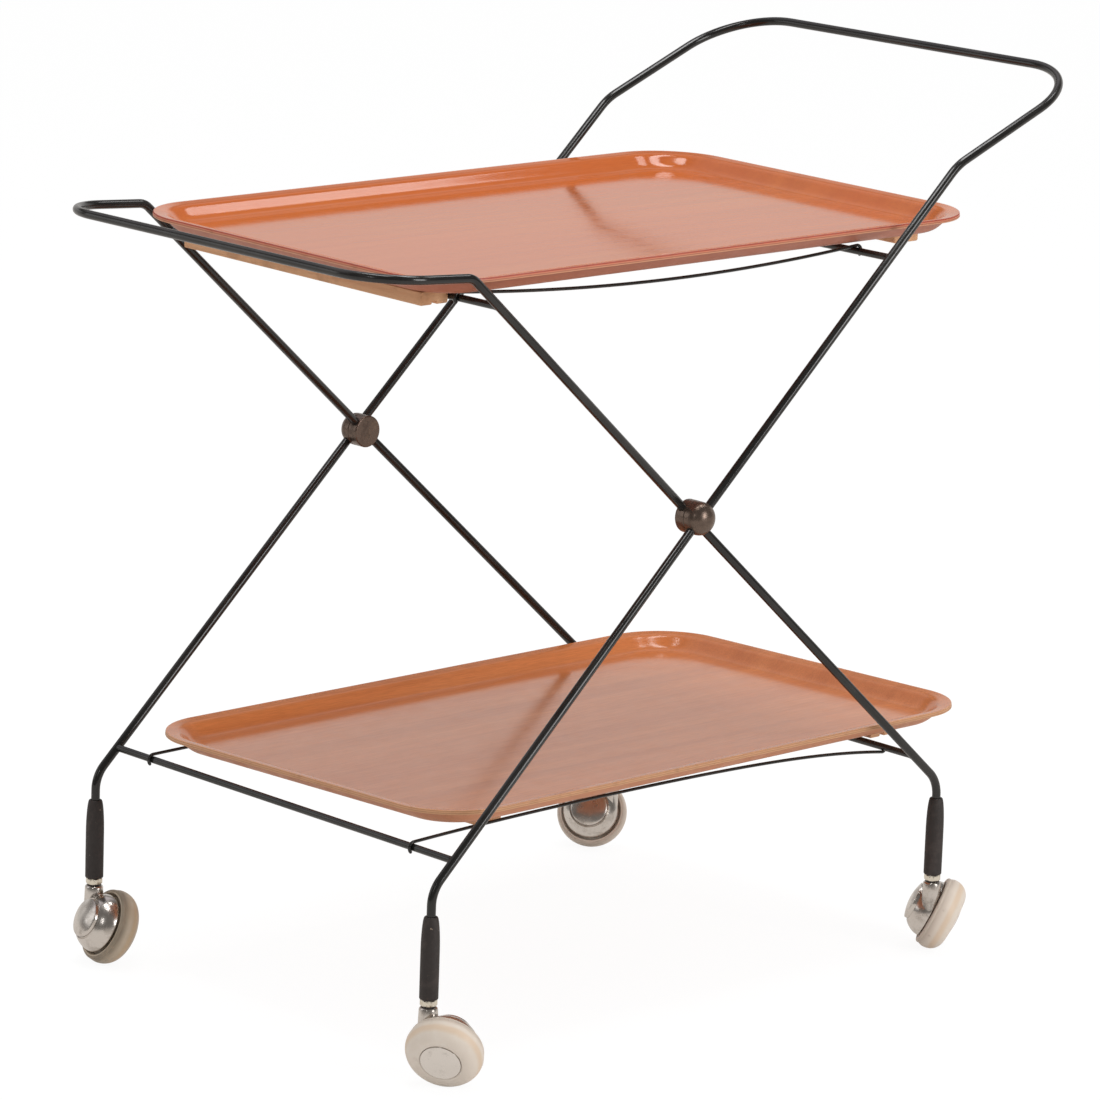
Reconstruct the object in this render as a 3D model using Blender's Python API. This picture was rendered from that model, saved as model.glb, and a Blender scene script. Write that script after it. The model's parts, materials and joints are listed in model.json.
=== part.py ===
"""A folding two-tray bar cart: two crossed rod frames, wire stays, plywood trays, ball casters.

The X axis runs along the cart (the handle is at +X), Y across it and Z up. The origin is on the
floor under the middle of the cart's length. Near is -Y, far is +Y and left is -X.
"""
import math

import bmesh
import bpy
from mathutils import Matrix, Vector

# Rods, bars and wires (metres)
ROD_RADIUS = 0.004
BAR_RADIUS = 0.00325
WIRE_RADIUS = 0.0015
GAP = 0.0003
ROD_ARC_STEPS = 6
ROUND_STEPS = 20
SMALL_STEPS = 12
SHARP_ANGLE = math.radians(32)

# Pivot barrels
PIVOT_X = -0.054
PIVOT_HEIGHT = 0.458
BARREL_RADIUS = 0.015
BARREL_HALF = 0.011
BARREL_DOME = 0.003
BARREL_EDGE = 0.0012
BARREL_ARC_STEPS = 4
SOCKET_FLOOR_RADIUS = 0.0068
PIN_RADIUS = 0.0034
PIN_SINK = 0.0008
PIN_REACH_SHARE = 0.6

# Frame B, the inner one: its legs stand under the handle and its loop is at the other end
FRAME_CLEARANCE = 0.0085
B_LEG_X = 0.279
B_LEG_BEND_Z = 0.165
B_BEND_X = -0.3205
B_BEND_Z = 0.6955
LOOP_X = -0.425
LOOP_Z = 0.7025
LOOP_CORNER = 0.055
B_BEND_RADIUS = 0.018

# Frame A, the outer one: its upper rods run up into the handle
A_LEG_X = -0.356
A_LEG_BEND_Z = 0.171
KNEE_X = 0.2535
KNEE_Z = 0.7445
GRIP_X = 0.425
GRIP_Z = 0.815
KNEE_RADIUS = 0.060
HANDLE_CORNER = 0.072
LEG_BEND_RADIUS = 0.030

# Cross bars
TOP_BAR_Z = 0.668
LOW_BAR_Z = 0.194

# Stay wires
STAY_CLEARANCE = 0.020
TOP_STAY_SAG = 0.0106
LOW_STAY_RISE = 0.0087
STAY_STEPS = 10
HOOK_STEPS = 4
HOOK_SWEEP = math.radians(150)
UNDER_HOOK_SWEEP = math.radians(135)

# Trays
TRAY_LENGTH = 0.674
TRAY_WIDTH = 0.420
TRAY_CORNER = 0.066
PLY = 0.004
RIM_HEIGHT = 0.017
LIP_WIDTH = 0.008
COVE_RADIUS = 0.028
CREST_RADIUS = 0.012
WALL_ANGLE = math.radians(32)
LIP_ANGLE = math.radians(8)
TOP_TRAY_X = -0.016
LOW_TRAY_X = 0.009
CORNER_STEPS = 5
CREST_STEPS = 3
COVE_STEPS = 4

# Battens glued under the trays
BATTEN_WIDTH = 0.031
BATTEN_HEIGHT = 0.012
BATTEN_INSET = 0.052
GROOVE_WIDTH = 0.006
GROOVE_DEPTH = 0.003
NOTCH_RADIUS = 0.005
NOTCH_INSET = 0.018
TOP_BATTEN_END_INSET = 0.054
LOW_BATTEN_END_INSET = 0.095

# Leg sleeves and caster stems
SLEEVE_TOP_Z = 0.149
SLEEVE_FOOT_Z = 0.074
SLEEVE_RADIUS = 0.0083
SLEEVE_TAPER = 0.031
SLEEVE_LIP = 0.0012
TAPER_STEPS = 3
COLLAR_HEIGHT = 0.0048
COLLAR_RADIUS = 0.0072
COLLAR_EDGE = 0.0006
STEM_LENGTH = 0.026
SPIGOT_RADIUS = 0.0026
SPIGOT_LENGTH = 0.0075

# Casters: a domed hood and a tilted wheel that together make a ball
TILT = math.radians(25)
TRAIL = 0.0175
TYRE_RADIUS = 0.0345
TYRE_DEPTH = 0.0235
TYRE_BULGE = 0.0085
TYRE_FACE_RADIUS = 0.021
TYRE_RIM = 0.0035
TYRE_RECESS = 0.006
HOOD_RADIUS = 0.0275
HOOD_DEPTH = 0.0225
HOOD_WALL = 0.002
HOOD_BOSS_RADIUS = 0.018
HOOD_BOSS_SHARE = 0.86
HOOD_GROOVE = 0.0012
HOOD_STEPS = 6
TYRE_STEPS = 6
NECK_GAP = 0.0015
NECK_TOP_RADIUS = 0.0080
NECK_FOOT_RADIUS = 0.0095
CAP_RADIUS = 0.018
CAP_DOME = 0.0025
CAP_SINK = 0.003
CAP_SHARES = (1.0, 0.8, 0.5, 0.0)
AXLE_RADIUS = 0.003
AXLE_SINK = 0.012
HUB_RADIUS = 0.007
HUB_START = 0.001

# Sizes that follow from the ones above
FRAME_B_HALF_WIDTH = TRAY_WIDTH / 2 + FRAME_CLEARANCE
A_HALF_WIDTH = FRAME_B_HALF_WIDTH + BARREL_HALF + GAP
PIN_END = A_HALF_WIDTH - BARREL_HALF / 2 + BARREL_HALF * PIN_REACH_SHARE
BATTEN_LENGTH = TRAY_WIDTH - 2 * BATTEN_INSET
TOP_RIGHT_BATTEN_X = TOP_TRAY_X + TRAY_LENGTH / 2 - TOP_BATTEN_END_INSET
LOW_LEFT_BATTEN_X = LOW_TRAY_X - TRAY_LENGTH / 2 + LOW_BATTEN_END_INSET
STAY_Y = BATTEN_LENGTH / 2 + STAY_CLEARANCE
HOOK_RADIUS = BAR_RADIUS + GAP + WIRE_RADIUS

# Headings of the four wheel axes in the resting pose, and the side to which each wheel trails
NEAR_LEFT_HEADING = math.radians(-146.7)
FAR_LEFT_HEADING = math.radians(-13.2)
NEAR_RIGHT_HEADING = math.radians(-49.2)
FAR_RIGHT_HEADING = math.radians(38.9)


def material(name, color, roughness, metallic=0.0):
    """A plain Principled material."""
    made = bpy.data.materials.new(name)
    made.use_nodes = True
    shader = made.node_tree.nodes["Principled BSDF"]
    shader.inputs["Base Color"].default_value = (*color, 1.0)
    shader.inputs["Roughness"].default_value = roughness
    shader.inputs["Metallic"].default_value = metallic
    made.diffuse_color = (*color, 1.0)
    return made


def add_object(name, mesh, paint, place=(0, 0, 0), turn=(0, 0, 0), parent=None):
    """Link a named object that carries a mesh or a curve and one material."""
    made = bpy.data.objects.new(name, mesh)
    mesh.materials.append(paint)
    made.location = place
    made.rotation_euler = turn
    made.parent = parent
    bpy.context.scene.collection.objects.link(made)
    return made


def loft(name, rings, cap=True):
    """Mesh through closed rings of points; a ring with a single point is a pole."""
    bm = bmesh.new()
    rows = [[bm.verts.new(point) for point in ring] for ring in rings]
    pairs = list(zip(rows, rows[1:]))
    if not cap:
        pairs.append((rows[-1], rows[0]))
    for lower, upper in pairs:
        count = max(len(lower), len(upper))
        for i in range(count):
            j = (i + 1) % count
            corners = [lower[i % len(lower)], lower[j % len(lower)],
                       upper[j % len(upper)], upper[i % len(upper)]]
            bm.faces.new(list(dict.fromkeys(corners)))
    if cap:
        for row in (rows[0], rows[-1]):
            if len(row) > 1:
                bm.faces.new(row)
    bmesh.ops.recalc_face_normals(bm, faces=bm.faces)
    mesh = bpy.data.meshes.new(name)
    bm.to_mesh(mesh)
    bm.free()
    mesh.shade_smooth()
    mesh.set_sharp_from_angle(angle=SHARP_ANGLE)
    return mesh


def turned(name, profile, steps=ROUND_STEPS, closed=False):
    """Mesh turned about local Z from (radius, height) points; closed joins the last to the first."""
    rings = []
    for radius, height in profile:
        angles = [2 * math.pi * i / steps for i in range(steps if radius > 0 else 1)]
        rings.append([(radius * math.cos(a), radius * math.sin(a), height) for a in angles])
    return loft(name, rings, cap=not closed)


def arc(center, radius, start, end, steps):
    """Points of a plane arc, angles in radians."""
    angles = [start + (end - start) * i / steps for i in range(steps + 1)]
    return [(center[0] + radius * math.cos(a), center[1] + radius * math.sin(a)) for a in angles]


def rounded_path(points, radii):
    """Polyline with each inner corner replaced by an arc of the given radius."""
    path = [Vector(points[0])]
    for before, corner, after, radius in zip(points, points[1:], points[2:], radii):
        corner = Vector(corner)
        into = (corner - Vector(before)).normalized()
        out = (Vector(after) - corner).normalized()
        turn = into.angle(out)
        reach = radius * math.tan(turn / 2)
        side = (out - into).normalized()
        center = corner + side * (radius / math.cos(turn / 2))
        first = corner - into * reach - center
        axis = into.cross(out).normalized()
        for i in range(ROD_ARC_STEPS + 1):
            path.append(center + Matrix.Rotation(turn * i / ROD_ARC_STEPS, 3, axis) @ first)
    path.append(Vector(points[-1]))
    return path


def round_tube(name, path, radius, paint, sides=10, origin=(0, 0, 0)):
    """Curve object with a round section along a path given in world coordinates."""
    curve = bpy.data.curves.new(name, "CURVE")
    curve.dimensions = "3D"
    curve.bevel_depth = radius
    curve.bevel_resolution = (sides - 4) // 2
    curve.use_fill_caps = True
    curve.render_resolution_u = 0
    spline = curve.splines.new("POLY")
    spline.points.add(len(path) - 1)
    for spot, point in zip(spline.points, path):
        spot.co = (*(Vector(point) - Vector(origin)), 1)
    spline.use_smooth = True
    return add_object(name, curve, paint, origin)


def block(name, size):
    """Box mesh centred on its origin."""
    mesh = bpy.data.meshes.new(name)
    bm = bmesh.new()
    bmesh.ops.create_cube(bm, size=1.0, matrix=Matrix.Diagonal((*size, 1)))
    bm.to_mesh(mesh)
    bm.free()
    return mesh


def boolean(target, tool, operation="DIFFERENCE"):
    """Cut with, or join, a hidden tool object."""
    tool.hide_render = True
    tool.display_type = "WIRE"
    change = target.modifiers.new(tool.name, "BOOLEAN")
    change.operation = operation
    change.object = tool


def cylinder_profile(radius, low, high):
    """Outline of a plain cylinder for turning."""
    return [(0, low), (radius, low), (radius, high), (0, high)]


def round_cut(target, name, start, end, radius, paint):
    """Cut a round hole between two points in world coordinates."""
    along = Vector(end) - Vector(start)
    mesh = turned(name, cylinder_profile(radius, 0, along.length), SMALL_STEPS)
    tool = add_object(name, mesh, paint, start, along.to_track_quat("Z", "Y").to_euler())
    boolean(target, tool)


def rod_end(side_y, corner):
    """Where a rod that points at the pivot ends, on the floor of its socket."""
    direction = Vector((corner[0] - PIVOT_X, 0, corner[1] - PIVOT_HEIGHT)).normalized()
    start = Vector((PIVOT_X, side_y, PIVOT_HEIGHT))
    return start + direction * (SOCKET_FLOOR_RADIUS + GAP)


def bow(name, half_width, bend, tip, bend_radius, corner_radius, paint):
    """One rod from a barrel up, round a bar at the end and back down to the other barrel."""
    points = []
    for side in (-1, 1):
        y = side * half_width
        arm = [rod_end(y, bend), (bend[0], y, bend[1]), (tip[0], y, tip[1])]
        points += arm if side < 0 else arm[::-1]
    radii = [bend_radius, corner_radius, corner_radius, bend_radius]
    return round_tube(name, rounded_path(points, radii), ROD_RADIUS, paint)


def leg(name, y, leg_x, bend_z, paint):
    """Lower rod: from the barrel down to the bend, then straight down into the sleeve."""
    foot_z = SLEEVE_FOOT_Z + STEM_LENGTH + GAP
    points = [rod_end(y, (leg_x, bend_z)), (leg_x, y, bend_z), (leg_x, y, foot_z)]
    return round_tube(name, rounded_path(points, [LEG_BEND_RADIUS]), ROD_RADIUS, paint)


def bar(name, x, z, half_width, paint, origin=(0, 0, 0)):
    """Cross bar between the two rods of a frame."""
    end = half_width - ROD_RADIUS - GAP
    return round_tube(name, [(x, -end, z), (x, end, z)], BAR_RADIUS, paint, origin=origin)


def barrel(name, side, inner, corners, paint):
    """Half of a pivot barrel, with a bore for the pin and sockets for its two rods."""
    rod_y = FRAME_B_HALF_WIDTH if inner else A_HALF_WIDTH
    seam = FRAME_B_HALF_WIDTH + BARREL_HALF / 2 + (0 if inner else GAP)
    depth = BARREL_HALF
    shoulder = BARREL_RADIUS - BARREL_EDGE
    crown = [(shoulder, depth), (0, depth)]
    if not inner:
        dome = arc((0, 0), shoulder, 0, math.pi / 2, BARREL_ARC_STEPS)[:-1]
        crown = [(r, depth + h * BARREL_DOME / BARREL_RADIUS) for r, h in dome]
        crown.append((0, depth + BARREL_DOME))
    profile = [(0, 0), (BARREL_RADIUS, 0), (BARREL_RADIUS, depth - BARREL_EDGE)] + crown
    facing = -side if inner else side
    turn = (-facing * math.pi / 2, 0, 0)
    made = add_object(name, turned(name, profile), paint, (PIVOT_X, side * seam, PIVOT_HEIGHT), turn)
    for i, (x, z) in enumerate(corners):
        direction = Vector((x - PIVOT_X, 0, z - PIVOT_HEIGHT)).normalized()
        near = Vector((PIVOT_X, side * rod_y, PIVOT_HEIGHT)) + direction * SOCKET_FLOOR_RADIUS
        far = near + direction * BARREL_RADIUS
        round_cut(made, f"{name}_socket_{i}", near, far, ROD_RADIUS + GAP, paint)
    bore_start = (PIVOT_X, side * (FRAME_B_HALF_WIDTH - BARREL_HALF), PIVOT_HEIGHT)
    bore_end = (PIVOT_X, side * (PIN_END + GAP), PIVOT_HEIGHT)
    round_cut(made, f"{name}_bore", bore_start, bore_end, PIN_RADIUS + GAP, paint)


def pivot_pin(name, side, paint):
    """Pin on which the inner barrel half turns, seated in the outer half."""
    inner_face = FRAME_B_HALF_WIDTH - BARREL_HALF / 2 + PIN_SINK
    path = [(PIVOT_X, side * inner_face, PIVOT_HEIGHT), (PIVOT_X, side * PIN_END, PIVOT_HEIGHT)]
    return round_tube(name, path, PIN_RADIUS, paint, sides=12)


def stay_run(left, right, bulge):
    """Bowed middle of a stay wire, from a point above or below one bar to one at the other."""
    points = []
    for i in range(STAY_STEPS + 1):
        share = i / STAY_STEPS
        x = left[0] + (right[0] - left[0]) * share
        z = left[1] + (right[1] - left[1]) * share + 4 * bulge * share * (1 - share)
        points.append((x, z))
    return points


def hook(bar_x, bar_z, start_angle, sweep):
    """Points of a hook that lies round a bar, without its first one."""
    return arc((bar_x, bar_z), HOOK_RADIUS, start_angle, start_angle + sweep, HOOK_STEPS)[1:]


def stay(name, side, outline, paint, origin):
    """Stay wire through (x, z) points at its place across the cart."""
    path = [(x, side * STAY_Y, z) for x, z in outline]
    return round_tube(name, path, WIRE_RADIUS, paint, sides=6, origin=origin)


def tray_ring(inset, height):
    """Rounded rectangle at a distance in from the tray's edge."""
    corner = TRAY_CORNER - inset
    half_x = TRAY_LENGTH / 2 - TRAY_CORNER
    half_y = TRAY_WIDTH / 2 - TRAY_CORNER
    ring = []
    for quarter, (sx, sy) in enumerate(((1, 1), (-1, 1), (-1, -1), (1, -1))):
        start = quarter * math.pi / 2
        spots = arc((sx * half_x, sy * half_y), corner, start, start + math.pi / 2, CORNER_STEPS)
        ring += [(x, y, height) for x, y in spots]
    return ring


def tray_section():
    """Middle line of the tray's wall as (inset, height, slope), from the lip in to the floor."""
    section = [(0.0, RIM_HEIGHT - PLY / 2, LIP_ANGLE)]
    inset = LIP_WIDTH * math.cos(LIP_ANGLE)
    height = RIM_HEIGHT - PLY / 2 - LIP_WIDTH * math.sin(LIP_ANGLE)
    for i in range(CREST_STEPS + 1):
        angle = LIP_ANGLE + (WALL_ANGLE - LIP_ANGLE) * i / CREST_STEPS
        run = CREST_RADIUS * (math.sin(angle) - math.sin(LIP_ANGLE))
        fall = CREST_RADIUS * (math.cos(LIP_ANGLE) - math.cos(angle))
        section.append((inset + run, height - fall, angle))
    inset, height, _ = section[-1]
    cove_fall = COVE_RADIUS * (1 - math.cos(WALL_ANGLE))
    straight = height - PLY / 2 - cove_fall
    inset += straight / math.tan(WALL_ANGLE)
    for i in range(COVE_STEPS + 1):
        angle = WALL_ANGLE * (1 - i / COVE_STEPS)
        run = COVE_RADIUS * (math.sin(WALL_ANGLE) - math.sin(angle))
        rise = COVE_RADIUS * (1 - math.cos(angle))
        section.append((inset + run, PLY / 2 + rise, angle))
    return section


def tray(name, place, paint, origin):
    """Moulded plywood tray; its underside is at the height of place."""
    top = []
    bottom = []
    for inset, height, slope in tray_section():
        shift = Vector((math.sin(slope), math.cos(slope))) * PLY / 2
        top.append((inset + shift.x, height + shift.y))
        bottom.append((inset - shift.x, height - shift.y))
    lip = min(inset for inset, _ in top + bottom)
    rings = [tray_ring(inset - lip, height) for inset, height in bottom[::-1] + top]
    offset = Vector(place) - Vector(origin)
    rings = [[Vector(point) + offset for point in ring] for ring in rings]
    return add_object(name, loft(name, rings), paint, origin)


def batten(name, x, floor_z, notched, paint, origin):
    """Wooden bar under a tray, grooved along its underside."""
    top = floor_z - GAP
    center = Vector((x, 0, top - BATTEN_HEIGHT / 2)) - Vector(origin)
    mesh = block(name, (BATTEN_WIDTH, BATTEN_LENGTH, BATTEN_HEIGHT))
    mesh.transform(Matrix.Translation(center))
    made = add_object(name, mesh, paint, origin)
    groove_size = (GROOVE_WIDTH, BATTEN_LENGTH + BATTEN_WIDTH, 2 * GROOVE_DEPTH)
    groove = add_object(f"{name}_groove", block(name, groove_size), paint)
    groove.location = (x, 0, top - BATTEN_HEIGHT)
    boolean(made, groove)
    if notched:
        for side in (-1, 1):
            y = side * (BATTEN_LENGTH / 2 - NOTCH_INSET)
            ends = [(x + way * BATTEN_WIDTH, y, top - BATTEN_HEIGHT) for way in (-1, 1)]
            round_cut(made, f"{name}_notch_{side}", ends[0], ends[1], NOTCH_RADIUS, paint)


def sleeve(name, x, y, paint):
    """Soft sleeve over the end of a leg, tapered at the top."""
    bore = ROD_RADIUS + GAP
    lip = bore + SLEEVE_LIP
    turns = [math.pi / 2 * i / TAPER_STEPS for i in range(TAPER_STEPS + 1)]
    taper = [(lip + (SLEEVE_RADIUS - lip) * math.sin(turn),
              SLEEVE_TOP_Z - SLEEVE_TAPER * (1 - math.cos(turn))) for turn in turns]
    outline = taper + [(SLEEVE_RADIUS, SLEEVE_FOOT_Z + SLEEVE_LIP),
                       (SLEEVE_RADIUS - SLEEVE_LIP, SLEEVE_FOOT_Z)]
    profile = outline + [(bore, SLEEVE_FOOT_Z), (bore, SLEEVE_TOP_Z)]
    mesh = turned(name, profile, SMALL_STEPS, closed=True)
    return add_object(name, mesh, paint, (x, y, 0))


def stem(name, x, y, paint):
    """Caster stem: a spindle up the sleeve, a collar under it and a spigot in the neck."""
    top = SLEEVE_FOOT_Z + STEM_LENGTH
    collar_top = SLEEVE_FOOT_Z - GAP
    collar_foot = SLEEVE_FOOT_Z - COLLAR_HEIGHT
    spigot_foot = collar_foot - SPIGOT_LENGTH
    edge = COLLAR_RADIUS - COLLAR_EDGE
    profile = [(0, top), (ROD_RADIUS, top), (ROD_RADIUS, collar_top), (COLLAR_RADIUS, collar_top),
               (COLLAR_RADIUS, collar_foot + COLLAR_EDGE), (edge, collar_foot),
               (SPIGOT_RADIUS, collar_foot), (SPIGOT_RADIUS, spigot_foot), (0, spigot_foot)]
    return add_object(name, turned(name, profile, SMALL_STEPS), paint, (x, y, 0))


def hood_mesh(name):
    """Domed shell about local Z: the rim is at zero and the boss points down."""
    outer = []
    for i in range(HOOD_STEPS):
        angle = math.pi / 2 * i / HOOD_STEPS
        outer.append((HOOD_RADIUS * math.cos(angle), -HOOD_DEPTH * math.sin(angle)))
    dip = HOOD_GROOVE
    boss = [(HOOD_BOSS_RADIUS + dip, -HOOD_DEPTH * HOOD_BOSS_SHARE + dip),
            (HOOD_BOSS_RADIUS, -HOOD_DEPTH * HOOD_BOSS_SHARE),
            (HOOD_BOSS_RADIUS / 2, -HOOD_DEPTH + dip / 2), (0, -HOOD_DEPTH)]
    outer = [point for point in outer if point[0] > HOOD_BOSS_RADIUS + 2 * dip]
    inner = [(HOOD_RADIUS - HOOD_WALL, 0), (HOOD_RADIUS - HOOD_WALL, -HOOD_WALL),
             (HOOD_BOSS_RADIUS, -HOOD_WALL * 2), (0, -HOOD_WALL * 2)]
    return turned(name, inner[::-1] + outer + boss)


def tyre_profile():
    """Outline of the tyre about the wheel axis, with the seam plane at zero."""
    outer = []
    for i in range(TYRE_STEPS + 1):
        angle = math.pi / 2 * i / TYRE_STEPS
        radius = TYRE_FACE_RADIUS + (TYRE_RADIUS - TYRE_FACE_RADIUS) * math.cos(angle)
        outer.append((radius, TYRE_BULGE + (TYRE_DEPTH - TYRE_BULGE) * math.sin(angle)))
    shoulder = [(TYRE_RADIUS - TYRE_RIM / 4, TYRE_BULGE / 2), (TYRE_RADIUS - TYRE_RIM / 2, GAP)]
    return shoulder[::-1] + outer


def wheel_height():
    """Height of the ball's centre at which the tilted tyre just reaches the floor."""
    return max(r * math.cos(TILT) + s * math.sin(TILT) for r, s in tyre_profile())


def caster(name, x, y, heading, hand, paints):
    """Swivelling hood with its tilted wheel, hub cap and axle."""
    swivel = bpy.data.objects.new(f"{name}_swivel", None)
    swivel.location = (x, y, 0)
    swivel.rotation_euler = (0, 0, heading)
    bpy.context.scene.collection.objects.link(swivel)
    axis = bpy.data.objects.new(f"{name}_wheel_axis", None)
    axis.location = (0, hand * TRAIL, wheel_height())
    axis.rotation_euler = (0, math.pi / 2 + TILT, 0)
    axis.parent = swivel
    bpy.context.scene.collection.objects.link(axis)

    shell = add_object(f"{name}_hood", neck_mesh(f"{name}_hood"), paints["chrome"], parent=swivel)
    beyond = turned(f"{name}_seam", cylinder_profile(2 * HOOD_RADIUS, -GAP, 2 * HOOD_RADIUS))
    boolean(shell, add_object(f"{name}_seam", beyond, paints["chrome"], parent=axis))
    dome = add_object(f"{name}_dome", hood_mesh(f"{name}_dome"), paints["chrome"], parent=axis)
    boolean(shell, dome, "UNION")
    hole = cylinder_profile(AXLE_RADIUS + GAP, -AXLE_SINK, 0)
    hole_mesh = turned(f"{name}_axle_hole", hole, SMALL_STEPS)
    boolean(shell, add_object(f"{name}_axle_hole", hole_mesh, paints["chrome"], parent=axis))

    pin = cylinder_profile(AXLE_RADIUS, -AXLE_SINK + GAP, TYRE_DEPTH - CAP_SINK - GAP)
    add_object(f"{name}_axle", turned(f"{name}_axle", pin, SMALL_STEPS), paints["steel"], parent=axis)

    tread = tyre_profile()
    seat = TYRE_DEPTH - CAP_SINK
    inside = [(CAP_RADIUS + GAP, TYRE_DEPTH), (CAP_RADIUS + GAP, seat), (AXLE_RADIUS + GAP, seat),
              (AXLE_RADIUS + GAP, HUB_START), (HUB_RADIUS, HUB_START), (HUB_RADIUS, TYRE_RECESS),
              (TYRE_RADIUS - 2 * TYRE_RIM, TYRE_RECESS), (TYRE_RADIUS - 1.5 * TYRE_RIM, GAP)]
    wheel = turned(f"{name}_tyre", tread + inside, closed=True)
    add_object(f"{name}_tyre", wheel, paints["tyre"], parent=axis)

    crown = [(CAP_RADIUS * share, TYRE_DEPTH + CAP_DOME * (1 - share ** 2)) for share in CAP_SHARES]
    cap = [(0, seat + GAP), (CAP_RADIUS, seat + GAP)] + crown
    add_object(f"{name}_cap", turned(f"{name}_cap", cap), paints["chrome"], parent=axis)


def neck_mesh(name):
    """Cone from the swivel joint down to the hood's middle, with a blind bore for the spigot."""
    top = SLEEVE_FOOT_Z - COLLAR_HEIGHT - NECK_GAP
    bore_floor = SLEEVE_FOOT_Z - COLLAR_HEIGHT - SPIGOT_LENGTH - GAP
    foot = wheel_height()
    bore = SPIGOT_RADIUS + GAP
    profile = [(0, foot), (NECK_FOOT_RADIUS, foot), (NECK_TOP_RADIUS, top), (bore, top),
               (bore, bore_floor), (0, bore_floor)]
    return turned(name, profile)


def on_rod(corner, z):
    """Where the line from the pivot through a corner of its frame passes a height."""
    return PIVOT_X + (corner[0] - PIVOT_X) * (z - PIVOT_HEIGHT) / (corner[1] - PIVOT_HEIGHT)


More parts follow.
